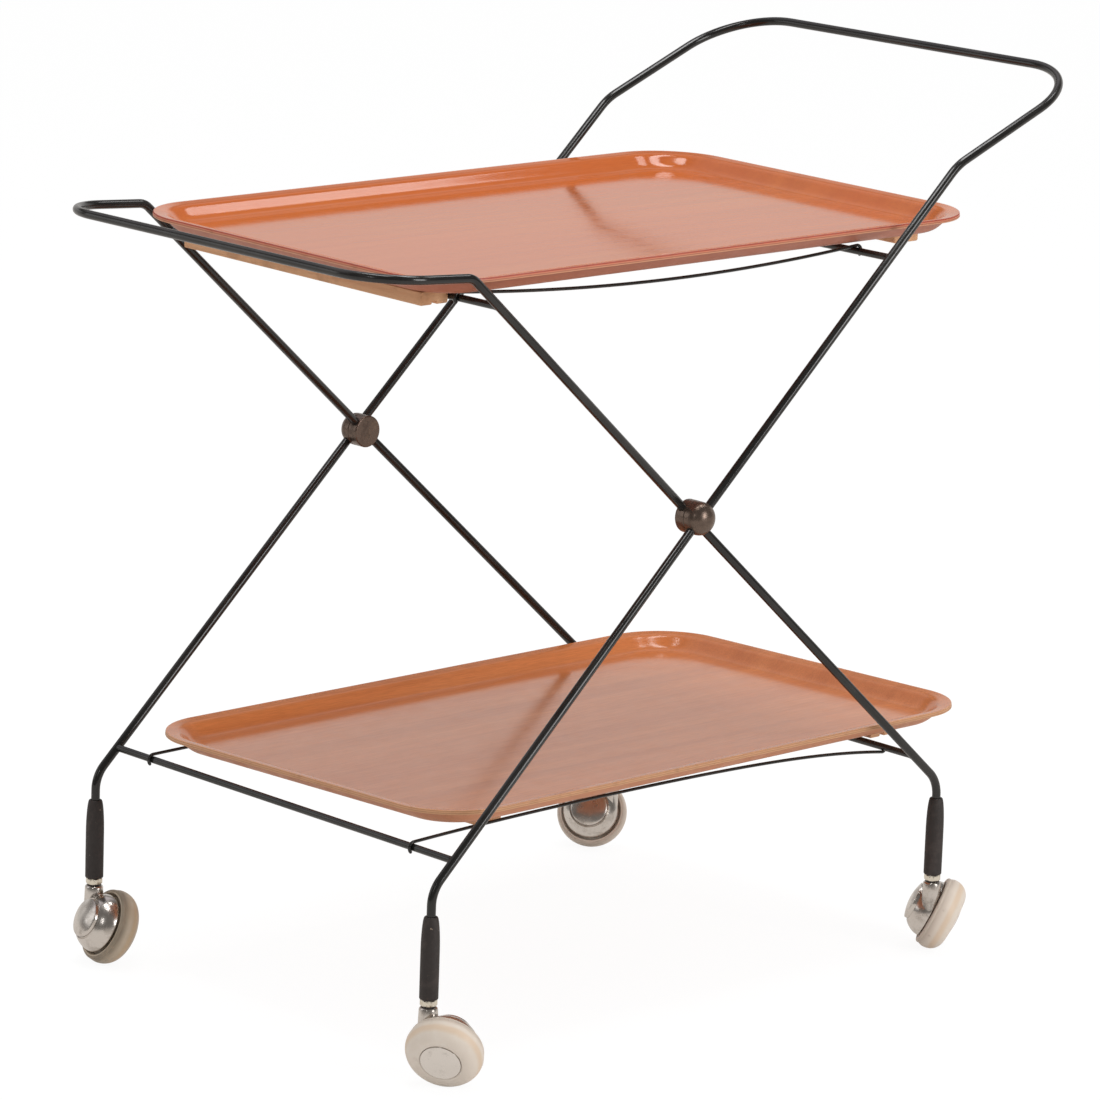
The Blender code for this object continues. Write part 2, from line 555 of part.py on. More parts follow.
def main():
    for old in list(bpy.data.objects):
        bpy.data.objects.remove(old, do_unlink=True)
    paints = {
        "lacquer": material("black_lacquer", (0.018, 0.017, 0.017), 0.38),
        "bronze": material("bronze_barrel", (0.075, 0.055, 0.042), 0.42, 0.7),
        "teak": material("teak_veneer", (0.42, 0.15, 0.055), 0.3),
        "batten": material("pale_wood", (0.45, 0.25, 0.12), 0.55),
        "sleeve": material("black_sleeve", (0.022, 0.019, 0.018), 0.6),
        "nickel": material("nickel_stem", (0.62, 0.60, 0.54), 0.25, 1.0),
        "steel": material("bright_steel", (0.55, 0.55, 0.55), 0.3, 1.0),
        "chrome": material("polished_metal", (0.70, 0.69, 0.68), 0.12, 1.0),
        "tyre": material("cream_tyre", (0.66, 0.56, 0.45), 0.5),
    }
    a_knee = (KNEE_X, KNEE_Z)
    b_bend = (B_BEND_X, B_BEND_Z)
    a_foot = (A_LEG_X, A_LEG_BEND_Z)
    b_foot = (B_LEG_X, B_LEG_BEND_Z)

    bow("handle_bow", A_HALF_WIDTH, a_knee, (GRIP_X, GRIP_Z), KNEE_RADIUS, HANDLE_CORNER,
        paints["lacquer"])
    bow("loop_bow", FRAME_B_HALF_WIDTH, b_bend, (LOOP_X, LOOP_Z), B_BEND_RADIUS, LOOP_CORNER,
        paints["lacquer"])

    a_top_x = on_rod(a_knee, TOP_BAR_Z)
    b_top_x = on_rod(b_bend, TOP_BAR_Z)
    a_low_x = on_rod(a_foot, LOW_BAR_Z)
    b_low_x = on_rod(b_foot, LOW_BAR_Z)
    bar("handle_crossbar", a_top_x, TOP_BAR_Z, A_HALF_WIDTH, paints["lacquer"])
    bar("loop_crossbar", b_top_x, TOP_BAR_Z, FRAME_B_HALF_WIDTH, paints["lacquer"])
    bar("left_foot_crossbar", a_low_x, LOW_BAR_Z, A_HALF_WIDTH, paints["lacquer"])
    bar("right_foot_crossbar", b_low_x, LOW_BAR_Z, FRAME_B_HALF_WIDTH, paints["lacquer"])

    headings = {("left", "near"): (NEAR_LEFT_HEADING, 1), ("left", "far"): (FAR_LEFT_HEADING, -1),
                ("right", "near"): (NEAR_RIGHT_HEADING, 1), ("right", "far"): (FAR_RIGHT_HEADING, 1)}
    for side, where in ((-1, "near"), (1, "far")):
        barrel(f"barrel_outer_{where}", side, False, (a_knee, a_foot), paints["bronze"])
        barrel(f"barrel_inner_{where}", side, True, (b_bend, b_foot), paints["bronze"])
        pivot_pin(f"pivot_pin_{where}", side, paints["steel"])
        for end, foot, half in (("left", a_foot, A_HALF_WIDTH), ("right", b_foot, FRAME_B_HALF_WIDTH)):
            y = side * half
            leg(f"leg_{end}_{where}", y, foot[0], foot[1], paints["lacquer"])
            sleeve(f"sleeve_{end}_{where}", foot[0], y, paints["sleeve"])
            stem(f"caster_stem_{end}_{where}", foot[0], y, paints["nickel"])
            heading, hand = headings[end, where]
            caster(f"caster_{end}_{where}", foot[0], y, heading, hand, paints)

    top_left = (b_top_x, TOP_BAR_Z + HOOK_RADIUS)
    top_right = (a_top_x, TOP_BAR_Z + HOOK_RADIUS)
    top_line = (hook(b_top_x, TOP_BAR_Z, math.pi / 2, HOOK_SWEEP)[::-1]
                + stay_run(top_left, top_right, -TOP_STAY_SAG)
                + hook(a_top_x, TOP_BAR_Z, math.pi / 2, -HOOK_SWEEP))
    low_left = (a_low_x, LOW_BAR_Z + HOOK_RADIUS)
    low_right = (b_low_x, LOW_BAR_Z - HOOK_RADIUS)
    low_line = (hook(a_low_x, LOW_BAR_Z, math.pi / 2, HOOK_SWEEP)[::-1]
                + stay_run(low_left, low_right, LOW_STAY_RISE)
                + hook(b_low_x, LOW_BAR_Z, -math.pi / 2, UNDER_HOOK_SWEEP))
    a_top = (a_top_x, 0, TOP_BAR_Z)
    a_low = (a_low_x, 0, LOW_BAR_Z)
    for side, where in ((-1, "near"), (1, "far")):
        stay(f"stay_top_{where}", side, top_line, paints["lacquer"], a_top)
        stay(f"stay_low_{where}", side, low_line, paints["lacquer"], a_low)

    top_floor = max(z for _, z in top_line) + WIRE_RADIUS + GAP
    low_floor = max(z for _, z in low_line) + WIRE_RADIUS + GAP
    tray("tray_top", (TOP_TRAY_X, 0, top_floor), paints["teak"], a_top)
    tray("tray_low", (LOW_TRAY_X, 0, low_floor), paints["teak"], a_low)
    beside = BAR_RADIUS + GAP + BATTEN_WIDTH / 2
    batten("batten_top_left", b_top_x - beside, top_floor, False, paints["batten"], a_top)
    batten("batten_top_right", TOP_RIGHT_BATTEN_X, top_floor, False, paints["batten"], a_top)
    batten("batten_low_right", b_low_x + beside, low_floor, True, paints["batten"], a_low)
    batten("batten_low_left", LOW_LEFT_BATTEN_X, low_floor, False, paints["batten"], a_low)


main()
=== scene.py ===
import json
from math import acos, cos, dist, hypot, pi, radians, sin, tan

import bmesh
import bpy
from mathutils import Matrix, Vector

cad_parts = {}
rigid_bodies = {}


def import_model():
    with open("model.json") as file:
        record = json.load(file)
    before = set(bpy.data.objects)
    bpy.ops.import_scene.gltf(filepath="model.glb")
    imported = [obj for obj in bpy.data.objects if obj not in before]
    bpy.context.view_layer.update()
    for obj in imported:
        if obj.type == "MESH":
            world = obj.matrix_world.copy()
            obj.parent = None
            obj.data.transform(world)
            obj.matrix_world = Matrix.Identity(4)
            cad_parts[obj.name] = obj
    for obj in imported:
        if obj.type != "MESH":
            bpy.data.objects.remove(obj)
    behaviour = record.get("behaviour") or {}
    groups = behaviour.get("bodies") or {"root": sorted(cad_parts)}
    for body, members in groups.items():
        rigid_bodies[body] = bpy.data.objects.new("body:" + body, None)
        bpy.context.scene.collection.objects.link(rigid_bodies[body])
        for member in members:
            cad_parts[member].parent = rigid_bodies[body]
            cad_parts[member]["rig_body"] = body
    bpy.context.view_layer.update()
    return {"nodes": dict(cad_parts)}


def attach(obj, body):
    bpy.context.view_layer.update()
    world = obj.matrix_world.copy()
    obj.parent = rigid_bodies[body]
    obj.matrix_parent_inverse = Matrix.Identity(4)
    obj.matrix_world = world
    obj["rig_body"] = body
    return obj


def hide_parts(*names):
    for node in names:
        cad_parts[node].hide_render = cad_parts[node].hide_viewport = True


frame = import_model()


def feed(socket, value):
    if isinstance(value, bpy.types.NodeSocket):
        socket.id_data.links.new(value, socket)
    else:
        socket.default_value = value


def addNode(tree, kind, inputs=None, **settings):
    node = tree.nodes.new(kind)
    for key, value in settings.items():
        setattr(node, key, value)
    for key, value in (inputs or {}).items():
        feed(node.inputs[key], value)
    return node


def treeOf(*values):
    return next(value.id_data for value in values if isinstance(value, bpy.types.NodeSocket))


def math2(operation, first, second=0.0, clamp=False):
    return addNode(treeOf(first, second), "ShaderNodeMath", {0: first, 1: second},
                   operation=operation, use_clamp=clamp).outputs[0]


def times(first, second):
    return math2("MULTIPLY", first, second)


def plus(first, second, clamp=False):
    return math2("ADD", first, second, clamp)


def minus(first, second):
    return math2("SUBTRACT", first, second)


def mixColour(factor, first, second):
    inputs = {0: factor, 6: first, 7: second}
    return addNode(factor.id_data, "ShaderNodeMix", inputs, data_type="RGBA").outputs[2]


def spread(value, low, high, toLow=0.0, toHigh=1.0):
    inputs = dict(enumerate((value, low, high, toLow, toHigh)))
    return addNode(value.id_data, "ShaderNodeMapRange", inputs, interpolation_type="SMOOTHSTEP").outputs[0]


def vectorMath(operation, first, second):
    inputs = {0: first, 1: second}
    return addNode(first.id_data, "ShaderNodeVectorMath", inputs, operation=operation).outputs[0]


def placeOn(tree, kind="Object"):
    return addNode(tree, "ShaderNodeTexCoord").outputs[kind]


def newGroup(name, inputs, outputs):
    # the sockets are numbers, vectors or colours, as their values are
    group = bpy.data.node_groups.new(name, "ShaderNodeTree")
    kinds = {0: "NodeSocketFloat", 3: "NodeSocketVector", 4: "NodeSocketColor"}
    for way, sockets in (("INPUT", inputs), ("OUTPUT", outputs)):
        for label, value in sockets.items():
            kind = kinds[len(value) if isinstance(value, tuple) else 0]
            group.interface.new_socket(label, in_out=way, socket_type=kind).default_value = value
    return group, group.nodes.new("NodeGroupInput").outputs, group.nodes.new("NodeGroupOutput").inputs


patchNoise = {"detail": 6.0, "roughness": 0.62, "emptyEdge": 0.72, "edgePerShare": 0.5}
gritNoise = {"detail": 3.0, "cellShare": 0.22, "speck": (0.10, 0.16)}
grainNoise = {
    # per metre along and across the grain
    "bands": (1.3, 36.0, 36.0), "flame": (1.0, 7.5, 7.5), "lines": (5.0, 240.0, 240.0),
    "pores": (60.0, 1500.0, 1500.0),
    "wave": {"Scale": 1.5, "Distortion": 7.0, "Detail": 3.0, "Detail Scale": 0.7, "Detail Roughness": 0.5},
    "bandEdges": (0.34, 0.66), "poreEdges": (0.40, 0.60), "middle": 0.5, "bandShare": 0.5, "least": 0.25,
    "lineShare": 0.9
}


def makePatches():
    # soft patches for wear, stains and uneven polish
    look = patchNoise
    inputs = {"Scale": 30.0, "Share": 0.2, "Softness": 0.08, "Stretch": (1, 1, 1)}
    group, given, made = newGroup("patches", inputs, {"Mask": 0.0, "Cloud": 0.0})
    stretched = vectorMath("MULTIPLY", placeOn(group), given["Stretch"])
    inputs = {"Vector": stretched, "Scale": given["Scale"], "Detail": look["detail"],
              "Roughness": look["roughness"]}
    cloud = addNode(group, "ShaderNodeTexNoise", inputs).outputs[0]
    edge = minus(look["emptyEdge"], times(given["Share"], look["edgePerShare"]))
    feed(made["Mask"], spread(cloud, edge, plus(edge, given["Softness"])))
    feed(made["Cloud"], cloud)
    return group


def makeGrit():
    # very fine height for paint, rubber and cast metal
    look = gritNoise
    group, given, made = newGroup("grit", {"Scale": 900.0}, {"Height": 0.0, "Speck": 0.0})
    where, scale = placeOn(group), given["Scale"]
    noise = addNode(group, "ShaderNodeTexNoise", {"Vector": where, "Scale": scale, "Detail": look["detail"]})
    scale = times(scale, look["cellShare"])
    cells = addNode(group, "ShaderNodeTexVoronoi", {"Vector": where, "Scale": scale})
    feed(made["Height"], noise.outputs[0])
    feed(made["Speck"], spread(cells.outputs["Distance"], *look["speck"], 1.0, 0.0))
    return group


def makeGrain():
    # wood grain that runs along x: broad bands, a flame figure, fine lines and pores
    look = grainNoise
    inputs = {"Light": (1, 1, 1, 1), "Dark": (0, 0, 0, 1), "Figure": 0.4, "Shift": (0, 0, 0), "Turn": 0.0}
    group, given, made = newGroup("grain", inputs, {"Colour": (0, 0, 0, 1), "Pores": 0.0})
    turned = addNode(group, "ShaderNodeVectorRotate", {"Vector": placeOn(group), "Angle": given["Turn"]},
                     rotation_type="Z_AXIS")
    moved = vectorMath("ADD", turned.outputs[0], given["Shift"])

    def noise(name, **inputs):
        inputs = {"Vector": vectorMath("MULTIPLY", moved, look[name]), "Scale": 1.0, **inputs}
        return addNode(group, "ShaderNodeTexNoise", inputs).outputs[0]

    bands = spread(noise("bands", Detail=5.0, Roughness=0.55, Distortion=0.5), *look["bandEdges"])
    inputs = {"Vector": vectorMath("MULTIPLY", moved, look["flame"]), **look["wave"]}
    flame = addNode(group, "ShaderNodeTexWave", inputs, wave_type="BANDS", bands_direction="Y")
    lines = noise("lines", Detail=3.0, Roughness=0.6)
    pores = noise("pores", Detail=2.0)
    figured = times(minus(flame.outputs["Fac"], look["middle"]), given["Figure"])
    streak = times(minus(lines, look["middle"]), look["lineShare"])
    tone = plus(plus(times(bands, look["bandShare"]), look["least"]), plus(figured, streak), clamp=True)
    feed(made["Colour"], mixColour(tone, given["Dark"], given["Light"]))
    feed(made["Pores"], spread(pores, *look["poreEdges"]))
    return group


patches, grit, grain = makePatches(), makeGrit(), makeGrain()


def placeGroup(tree, group, **values):
    return addNode(tree, "ShaderNodeGroup", values, node_tree=group).outputs


def placePatches(tree, scale, share, softness, stretch=(1, 1, 1)):
    return placeGroup(tree, patches, Scale=scale, Share=share, Softness=softness, Stretch=stretch)


def overlay(colour, mask, strength, over):
    return mixColour(times(mask, strength), colour, over)


def specksIn(fine, *patch):
    return times(fine["Speck"], placePatches(fine["Speck"].id_data, *patch)["Mask"])


def newFinish(name, metallic=0.0):
    finish = bpy.data.materials.new(name)
    finish.use_nodes = True
    finish.node_tree.nodes["Principled BSDF"].inputs["Metallic"].default_value = metallic
    return finish, finish.node_tree


cloudSpread = (0.3, 0.7)


def finishWith(finish, look, colour, cloud, height):
    # rough goes from gloss to dull over the cloud; bump is its strength and distance
    tree = finish.node_tree
    sockets = tree.nodes["Principled BSDF"].inputs
    feed(sockets["Base Color"], colour)
    feed(sockets["Roughness"], spread(cloud, *cloudSpread, *look["rough"]))
    strength, distance = look["bump"]
    relief = addNode(tree, "ShaderNodeBump", {"Strength": strength, "Distance": distance, "Height": height})
    feed(sockets["Normal"], relief.outputs[0])
    return finish


# a skin's patches are scale, share, softness, strength and colour; the one named as cloud changes the gloss
lacquerLook = {
    "base": (0.010, 0.0095, 0.009, 1), "grit": 700.0, "rough": (0.12, 0.22), "bump": (0.03, 0.0002),
    "patches": {"dust": (14.0, 0.55, 0.2, 0.35, (0.040, 0.037, 0.034, 1)),
                "worn": (42.0, 0.02, 0.05, 0.8, (0.075, 0.050, 0.034, 1))}, "cloud": "worn"
}
bronzeLook = {
    "base": (0.145, 0.104, 0.082, 1), "grit": 1100.0, "rough": (0.22, 0.36), "bump": (0.08, 0.0002),
    "patches": {"stain": (120.0, 0.45, 0.15, 0.5, (0.065, 0.045, 0.036, 1)),
                "rubbed": (70.0, 0.30, 0.12, 0.6, (0.24, 0.17, 0.115, 1))}, "cloud": "stain"
}
sleeveLook = {
    "base": (0.024, 0.017, 0.015, 1), "grit": 500.0, "rough": (0.5, 0.7), "bump": (0.5, 0.0006),
    "patches": {"rubbed": (60.0, 0.5, 0.2, 0.6, (0.062, 0.046, 0.040, 1)),
                "chips": (210.0, 0.06, 0.02, 0.7, (0.40, 0.30, 0.22, 1))}, "cloud": "rubbed", "lumpy": True
}


def metalLook(bright, tarnish, share, rough, scratch):
    return {"base": bright, "grit": 900.0, "rough": rough, "bump": (scratch, 0.0001), "cloud": "dim",
            "patches": {"dim": (85.0, share, 0.18, 0.7, tarnish)}, "pits": (40.0, 0.35, 0.1),
            "pitStrength": 0.5, "pitColour": (0.12, 0.10, 0.08, 1)}


def makeSkin(name, look, metallic=0.0):
    finish, tree = newFinish(name, metallic)
    fine = placeGroup(tree, grit, Scale=look["grit"])
    colour, height, clouds = look["base"], fine["Height"], {}
    for label, (*patch, strength, over) in look["patches"].items():
        placed = placePatches(tree, *patch)
        colour = overlay(colour, placed["Mask"], strength, over)
        clouds[label] = placed["Cloud"]
    if "pits" in look:
        colour = overlay(colour, specksIn(fine, *look["pits"]), look["pitStrength"], look["pitColour"])
    if "lumpy" in look:
        height = plus(height, clouds[look["cloud"]])
    return finishWith(finish, look, colour, clouds[look["cloud"]], height)


topVeneerLook = {
    "light": (0.565, 0.160, 0.039, 1), "dark": (0.455, 0.118, 0.031, 1), "warm": (0.52, 0.112, 0.026, 1),
    "poreColour": (0.24, 0.05, 0.015, 1), "figure": 0.10, "shift": (0.3, 0.11, 0.0), "blush": 0.5,
    "pore": 0.14, "rough": (0.085, 0.13), "bump": (0.015, 0.00015)
}
# the low tray's teak is lighter than the top tray's: painted light that makes up for the shade the top tray
# casts on it
lowVeneerPaintedLightLook = {
    "light": (0.755, 0.262, 0.086, 1), "dark": (0.585, 0.180, 0.056, 1), "warm": (0.66, 0.194, 0.058, 1),
    "poreColour": (0.14, 0.045, 0.02, 1), "figure": 0.14, "shift": (1.7, 0.43, 0.2), "blush": 0.4,
    "pore": 0.14, "rough": (0.13, 0.19), "bump": (0.02, 0.00015)
}
topBackLook = {
    **topVeneerLook, "light": (0.46, 0.175, 0.100, 1), "dark": (0.34, 0.115, 0.070, 1),
    "warm": (0.40, 0.130, 0.075, 1), "rough": (0.42, 0.58)
}
lowBackLook = {
    **lowVeneerPaintedLightLook, "light": (0.60, 0.245, 0.115, 1), "dark": (0.46, 0.170, 0.078, 1),
    "warm": (0.50, 0.180, 0.080, 1), "rough": (0.42, 0.58)
}
veneerPatches = {"blush": (5.0, 0.9, 0.35, (0.5, 1.4, 1.4)), "polish": (60.0, 0.3, 0.2)}


def makeVeneer(name, look):
    finish, tree = newFinish(name)
    wood = placeGroup(tree, grain, Light=look["light"], Dark=look["dark"], Figure=look["figure"],
                      Shift=look["shift"])
    blush = placePatches(tree, *veneerPatches["blush"])
    colour = overlay(wood["Colour"], blush["Mask"], look["blush"], look["warm"])
    colour = overlay(colour, minus(1.0, wood["Pores"]), look["pore"], look["poreColour"])
    polish = placePatches(tree, *veneerPatches["polish"])
    return finishWith(finish, look, colour, polish["Cloud"], wood["Pores"])


plyLook = {
    "stops": (0.0, 0.17, 0.36, 0.55, 0.75, 0.93), "ragged": (55.0, 0.5, 0.2), "raggedness": 0.12,
    "dirt": (90.0, 0.4, 0.2), "dirtStrength": 0.3, "dirtColour": (0.22, 0.09, 0.04, 1), "rough": (0.35, 0.6),
    "bump": (0.2, 0.0002)
}
topPlies = [
    (0.50, 0.20, 0.09, 1), (0.62, 0.30, 0.17, 1), (0.36, 0.10, 0.05, 1), (0.62, 0.22, 0.12, 1),
    (0.40, 0.07, 0.035, 1), (0.34, 0.045, 0.025, 1)
]
lowPlies = [
    (0.42, 0.19, 0.085, 1), (0.62, 0.33, 0.17, 1), (0.40, 0.18, 0.085, 1), (0.62, 0.33, 0.17, 1),
    (0.44, 0.20, 0.095, 1), (0.66, 0.34, 0.165, 1)
]


def acrossUv(tree):
    return addNode(tree, "ShaderNodeSeparateXYZ", {0: placeOn(tree, "UV")}).outputs["Y"]


def uneven(value, cloud, amount):
    return plus(value, times(minus(cloud, 0.5), amount))


def makePlyEdge(name, plies):
    # the plies of the rim, read across the edge from the piece's own uv map
    look = plyLook
    finish, tree = newFinish(name)
    across = uneven(acrossUv(tree), placePatches(tree, *look["ragged"])["Cloud"], look["raggedness"])
    ramp = addNode(tree, "ShaderNodeValToRGB", {0: across})
    ramp.color_ramp.interpolation = "EASE"
    stops = ramp.color_ramp.elements
    while len(stops) < len(plies):
        stops.new(0.5)
    for stop, position, colour in zip(stops, look["stops"], plies):
        stop.position, stop.color = position, colour
    dirt = placePatches(tree, *look["dirt"])
    colour = overlay(ramp.outputs[0], dirt["Mask"], look["dirtStrength"], look["dirtColour"])
    return finishWith(finish, look, colour, dirt["Cloud"], across)


battenLook = {
    "light": (0.74, 0.42, 0.22, 1), "dark": (0.52, 0.25, 0.115, 1), "figure": 0.15, "shift": (0.4, 0.9, 0.1),
    "stain": (26.0, 0.4, 0.16), "stainStrength": 0.35, "stainColour": (0.22, 0.10, 0.05, 1),
    "rough": (0.5, 0.68), "bump": (0.35, 0.0003)
}


def makeBatten():
    look = battenLook
    finish, tree = newFinish("battenWood")
    wood = placeGroup(tree, grain, Light=look["light"], Dark=look["dark"], Figure=look["figure"],
                      Shift=look["shift"], Turn=pi / 2)
    stain = placePatches(tree, *look["stain"])
    colour = overlay(wood["Colour"], stain["Mask"], look["stainStrength"], look["stainColour"])
    return finishWith(finish, look, colour, stain["Cloud"], wood["Pores"])


tyreLook = {
    "cream": (0.70, 0.61, 0.52, 1), "pale": (0.77, 0.70, 0.62, 1), "tan": (0.66, 0.47, 0.30, 1),
    "grime": (0.20, 0.145, 0.095, 1), "seamGrime": 0.55, "blot": (38.0, 0.5, 0.25), "paleStrength": 0.6,
    "waver": 0.10, "tanFrom": (0.36, 0.46), "tanTo": (0.52, 0.66), "tanStrength": 0.55, "grit": 260.0,
    "seam": (0.12, 0.34), "specks": (70.0, 0.5, 0.1), "seamSpecks": 0.75, "specksElsewhere": 0.1,
    "rough": (0.34, 0.5), "bump": (0.2, 0.0003)
}
# the far-left tyre: a darker copy of the cream tyre, partly real dirt near the hood and partly painted shade
# over the whole tyre
dirtAndShadeTyreLook = {
    **tyreLook, "cream": (0.47, 0.38, 0.28, 1), "pale": (0.58, 0.50, 0.40, 1), "tan": (0.50, 0.35, 0.20, 1),
    "grime": (0.10, 0.072, 0.045, 1), "seamGrime": 1.1
}


def makeTyre(name, look):
    # rings across the tyre are read from the piece's own uv map: 0 at the hood, 1 at the cap
    finish, tree = newFinish(name)
    tree.nodes["Principled BSDF"].inputs["Specular IOR Level"].default_value = 0.45
    across = acrossUv(tree)
    blot = placePatches(tree, *look["blot"])
    ring = uneven(across, blot["Cloud"], look["waver"])
    band = times(spread(ring, *look["tanFrom"]), minus(1.0, spread(ring, *look["tanTo"])))
    colour = overlay(look["cream"], blot["Mask"], look["paleStrength"], look["pale"])
    colour = overlay(colour, band, look["tanStrength"], look["tan"])
    fine = placeGroup(tree, grit, Scale=look["grit"])
    nearHood = spread(across, *look["seam"], 1.0, 0.0)
    speckShare = plus(times(nearHood, look["seamSpecks"]), look["specksElsewhere"])
    specks = times(specksIn(fine, *look["specks"]), speckShare)
    grime = times(nearHood, times(blot["Cloud"], look["seamGrime"]))
    colour = mixColour(plus(grime, specks, clamp=True), colour, look["grime"])
    return finishWith(finish, look, colour, blot["Cloud"], fine["Height"])


chromeLook = metalLook((0.66, 0.62, 0.58, 1), (0.46, 0.42, 0.38, 1), 0.5, (0.19, 0.30), 0.10)
capLook = metalLook((0.76, 0.72, 0.68, 1), (0.58, 0.54, 0.50, 1), 0.40, (0.12, 0.22), 0.10)
nickelLook = metalLook((0.79, 0.74, 0.63, 1), (0.60, 0.54, 0.43, 1), 0.4, (0.22, 0.38), 0.3)
steelLook = metalLook((0.55, 0.54, 0.52, 1), (0.34, 0.31, 0.28, 1), 0.4, (0.26, 0.42), 0.3)
finishes = {
    "lacquer": makeSkin("blackLacquer", lacquerLook), "bronze": makeSkin("brownedBronze", bronzeLook, 0.75),
    "topVeneer": makeVeneer("topTrayTeak", topVeneerLook),
    "lowVeneer": makeVeneer("lowTrayTeakPaintedLight", lowVeneerPaintedLightLook),
    "topBack": makeVeneer("topTrayUnderside", topBackLook),
    "lowBack": makeVeneer("lowTrayUnderside", lowBackLook),
    "topEdge": makePlyEdge("topTrayPlies", topPlies), "lowEdge": makePlyEdge("lowTrayPlies", lowPlies),
    "batten": makeBatten(), "sleeve": makeSkin("sleeveSkin", sleeveLook),
    "tyre": makeTyre("creamTyre", tyreLook), "dirtAndShadeTyre": makeTyre("tyreDirtAndPaintedShade", dirtAndShadeTyreLook),
    "chrome": makeSkin("polishedHood", chromeLook, 1.0), "cap": makeSkin("polishedCap", capLook, 1.0),
    "nickel": makeSkin("paleNickel", nickelLook, 1.0), "steel": makeSkin("hiddenSteel", steelLook, 1.0),
}
print("finishes:", len(finishes))


def meshFrom(points, faces, faceUvs=None, faceFinish=None, sharp=35.0):
    mesh = bpy.data.meshes.new("work")
    mesh.from_pydata([tuple(p) for p in points], [], faces)
    if faceUvs:
        layer = mesh.uv_layers.new(name="UVMap")
        flat = [value for uvs in faceUvs for uv in uvs for value in uv]
        layer.data.foreach_set("uv", flat)
    if faceFinish:
        mesh.polygons.foreach_set("material_index", faceFinish)
    mesh.validate()
    mesh.update()
    mesh.shade_smooth()
    mesh.set_sharp_from_angle(angle=radians(sharp))
    return mesh


def signedVolume(mesh):
    mesh.calc_loop_triangles()
    spots = mesh.vertices
    return sum(spots[a].co.dot(spots[b].co.cross(spots[c].co)) for a, b, c in
               (tri.vertices for tri in mesh.loop_triangles)) / 6


def outward(mesh):
    if signedVolume(mesh) < 0:
        mesh.flip_normals()
    return mesh


def turnedMesh(profile, steps=72, closed=False, seen=None, sharp=35.0):
    # a profile of (radius, height) points turned about z; its uv map runs round it and along the seen length
    points, rows = [], []
    for radius, height in profile:
        count = steps if radius > 0 else 1
        rows.append(range(len(points), len(points) + count))
        points += [(radius * cos(2 * pi * i / steps), radius * sin(2 * pi * i / steps), height)
                   for i in range(count)]
    lengths = [0.0]
    for (r0, h0), (r1, h1) in zip(profile, profile[1:]):
        lengths.append(lengths[-1] + hypot(r1 - r0, h1 - h0))
    faces, uvs = [], []
    whole = seen or lengths[-1]
    pairs = [(k, k + 1) for k in range(len(rows) - 1)] + ([(len(rows) - 1, 0)] if closed else [])
    for low, high in pairs:
        v0, v1 = lengths[low] / whole, lengths[high or low] / whole
        for i in range(steps):
            corners = [(low, i, v0), (low, i + 1, v0), (high, i + 1, v1), (high, i, v1)]
            face, faceUv = [], []
            for row, spot, v in corners:
                index = rows[row][spot % len(rows[row])]
                if index not in face:
                    face.append(index)
                    faceUv.append((spot / steps, v))
            if len(face) > 2:
                faces.append(face)
                uvs.append(faceUv)
    return outward(meshFrom(points, faces, uvs, None, sharp))


def arcPoints(center, radius, start, end, steps):
    angles = [start + (end - start) * i / steps for i in range(steps + 1)]
    return [(center[0] + radius * cos(a), center[1] + radius * sin(a)) for a in angles]


def ringFaces(rows, count):
    # four-sided faces between neighbouring closed rings of points
    return [(low + i, low + (i + 1) % count, low + count + (i + 1) % count, low + count + i)
            for low in range(0, (rows - 1) * count, count) for i in range(count)]


def freeze(obj):
    # what the modifiers make becomes the piece's plain mesh
    bpy.context.view_layer.update()
    graph = bpy.context.evaluated_depsgraph_get()
    mesh = bpy.data.meshes.new_from_object(obj.evaluated_get(graph), depsgraph=graph)
    obj.modifiers.clear()
    old = obj.data
    obj.data = mesh
    bpy.data.meshes.remove(old)
    return mesh


def newObject(name, mesh):
    made = bpy.data.objects.new(name, mesh)
    bpy.context.scene.collection.objects.link(made)
    return made


def combine(mesh, changes):
    # (operation, mesh) pairs applied in turn with exact booleans
    base = newObject("work", mesh)
    tools = []
    for operation, toolMesh in changes:
        tool = newObject("tool", toolMesh)
        tool.hide_render = True
        tools.append(tool)
        change = base.modifiers.new(operation, "BOOLEAN")
        change.operation = operation
        change.solver = "EXACT"
        change.object = tool
    result = freeze(base)
    for tool in tools:
        bpy.data.objects.remove(tool)
    bpy.data.objects.remove(base)
    clean = bmesh.new()                         # booleans leave doubled points and edges without length
    clean.from_mesh(result)
    bmesh.ops.remove_doubles(clean, verts=clean.verts, dist=4e-6)
    bmesh.ops.dissolve_degenerate(clean, edges=clean.edges, dist=2e-6)
    clean.to_mesh(result)
    clean.free()
    result.set_sharp_from_angle(angle=radians(35))
    return result


def place(name, mesh, looks, slotName, *nodes):
    piece = newObject(name, mesh)
    mesh.name = name
    for index, look in enumerate(looks):
        if index < len(mesh.materials):
            mesh.materials[index] = finishes[look]
        else:
            mesh.materials.append(finishes[look])
    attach(piece, frame["nodes"][nodes[0]]["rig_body"])
    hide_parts(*nodes)
    return piece


rodLook = {
    "leastTip": 0.12, "tipRings": (0.06, 0.2, 0.45, 0.75, 1.0), "weldRings": (0.3, 0.5, 0.65, 0.8, 1.0),
    "bowSides": 28, "barTip": 0.0004
}


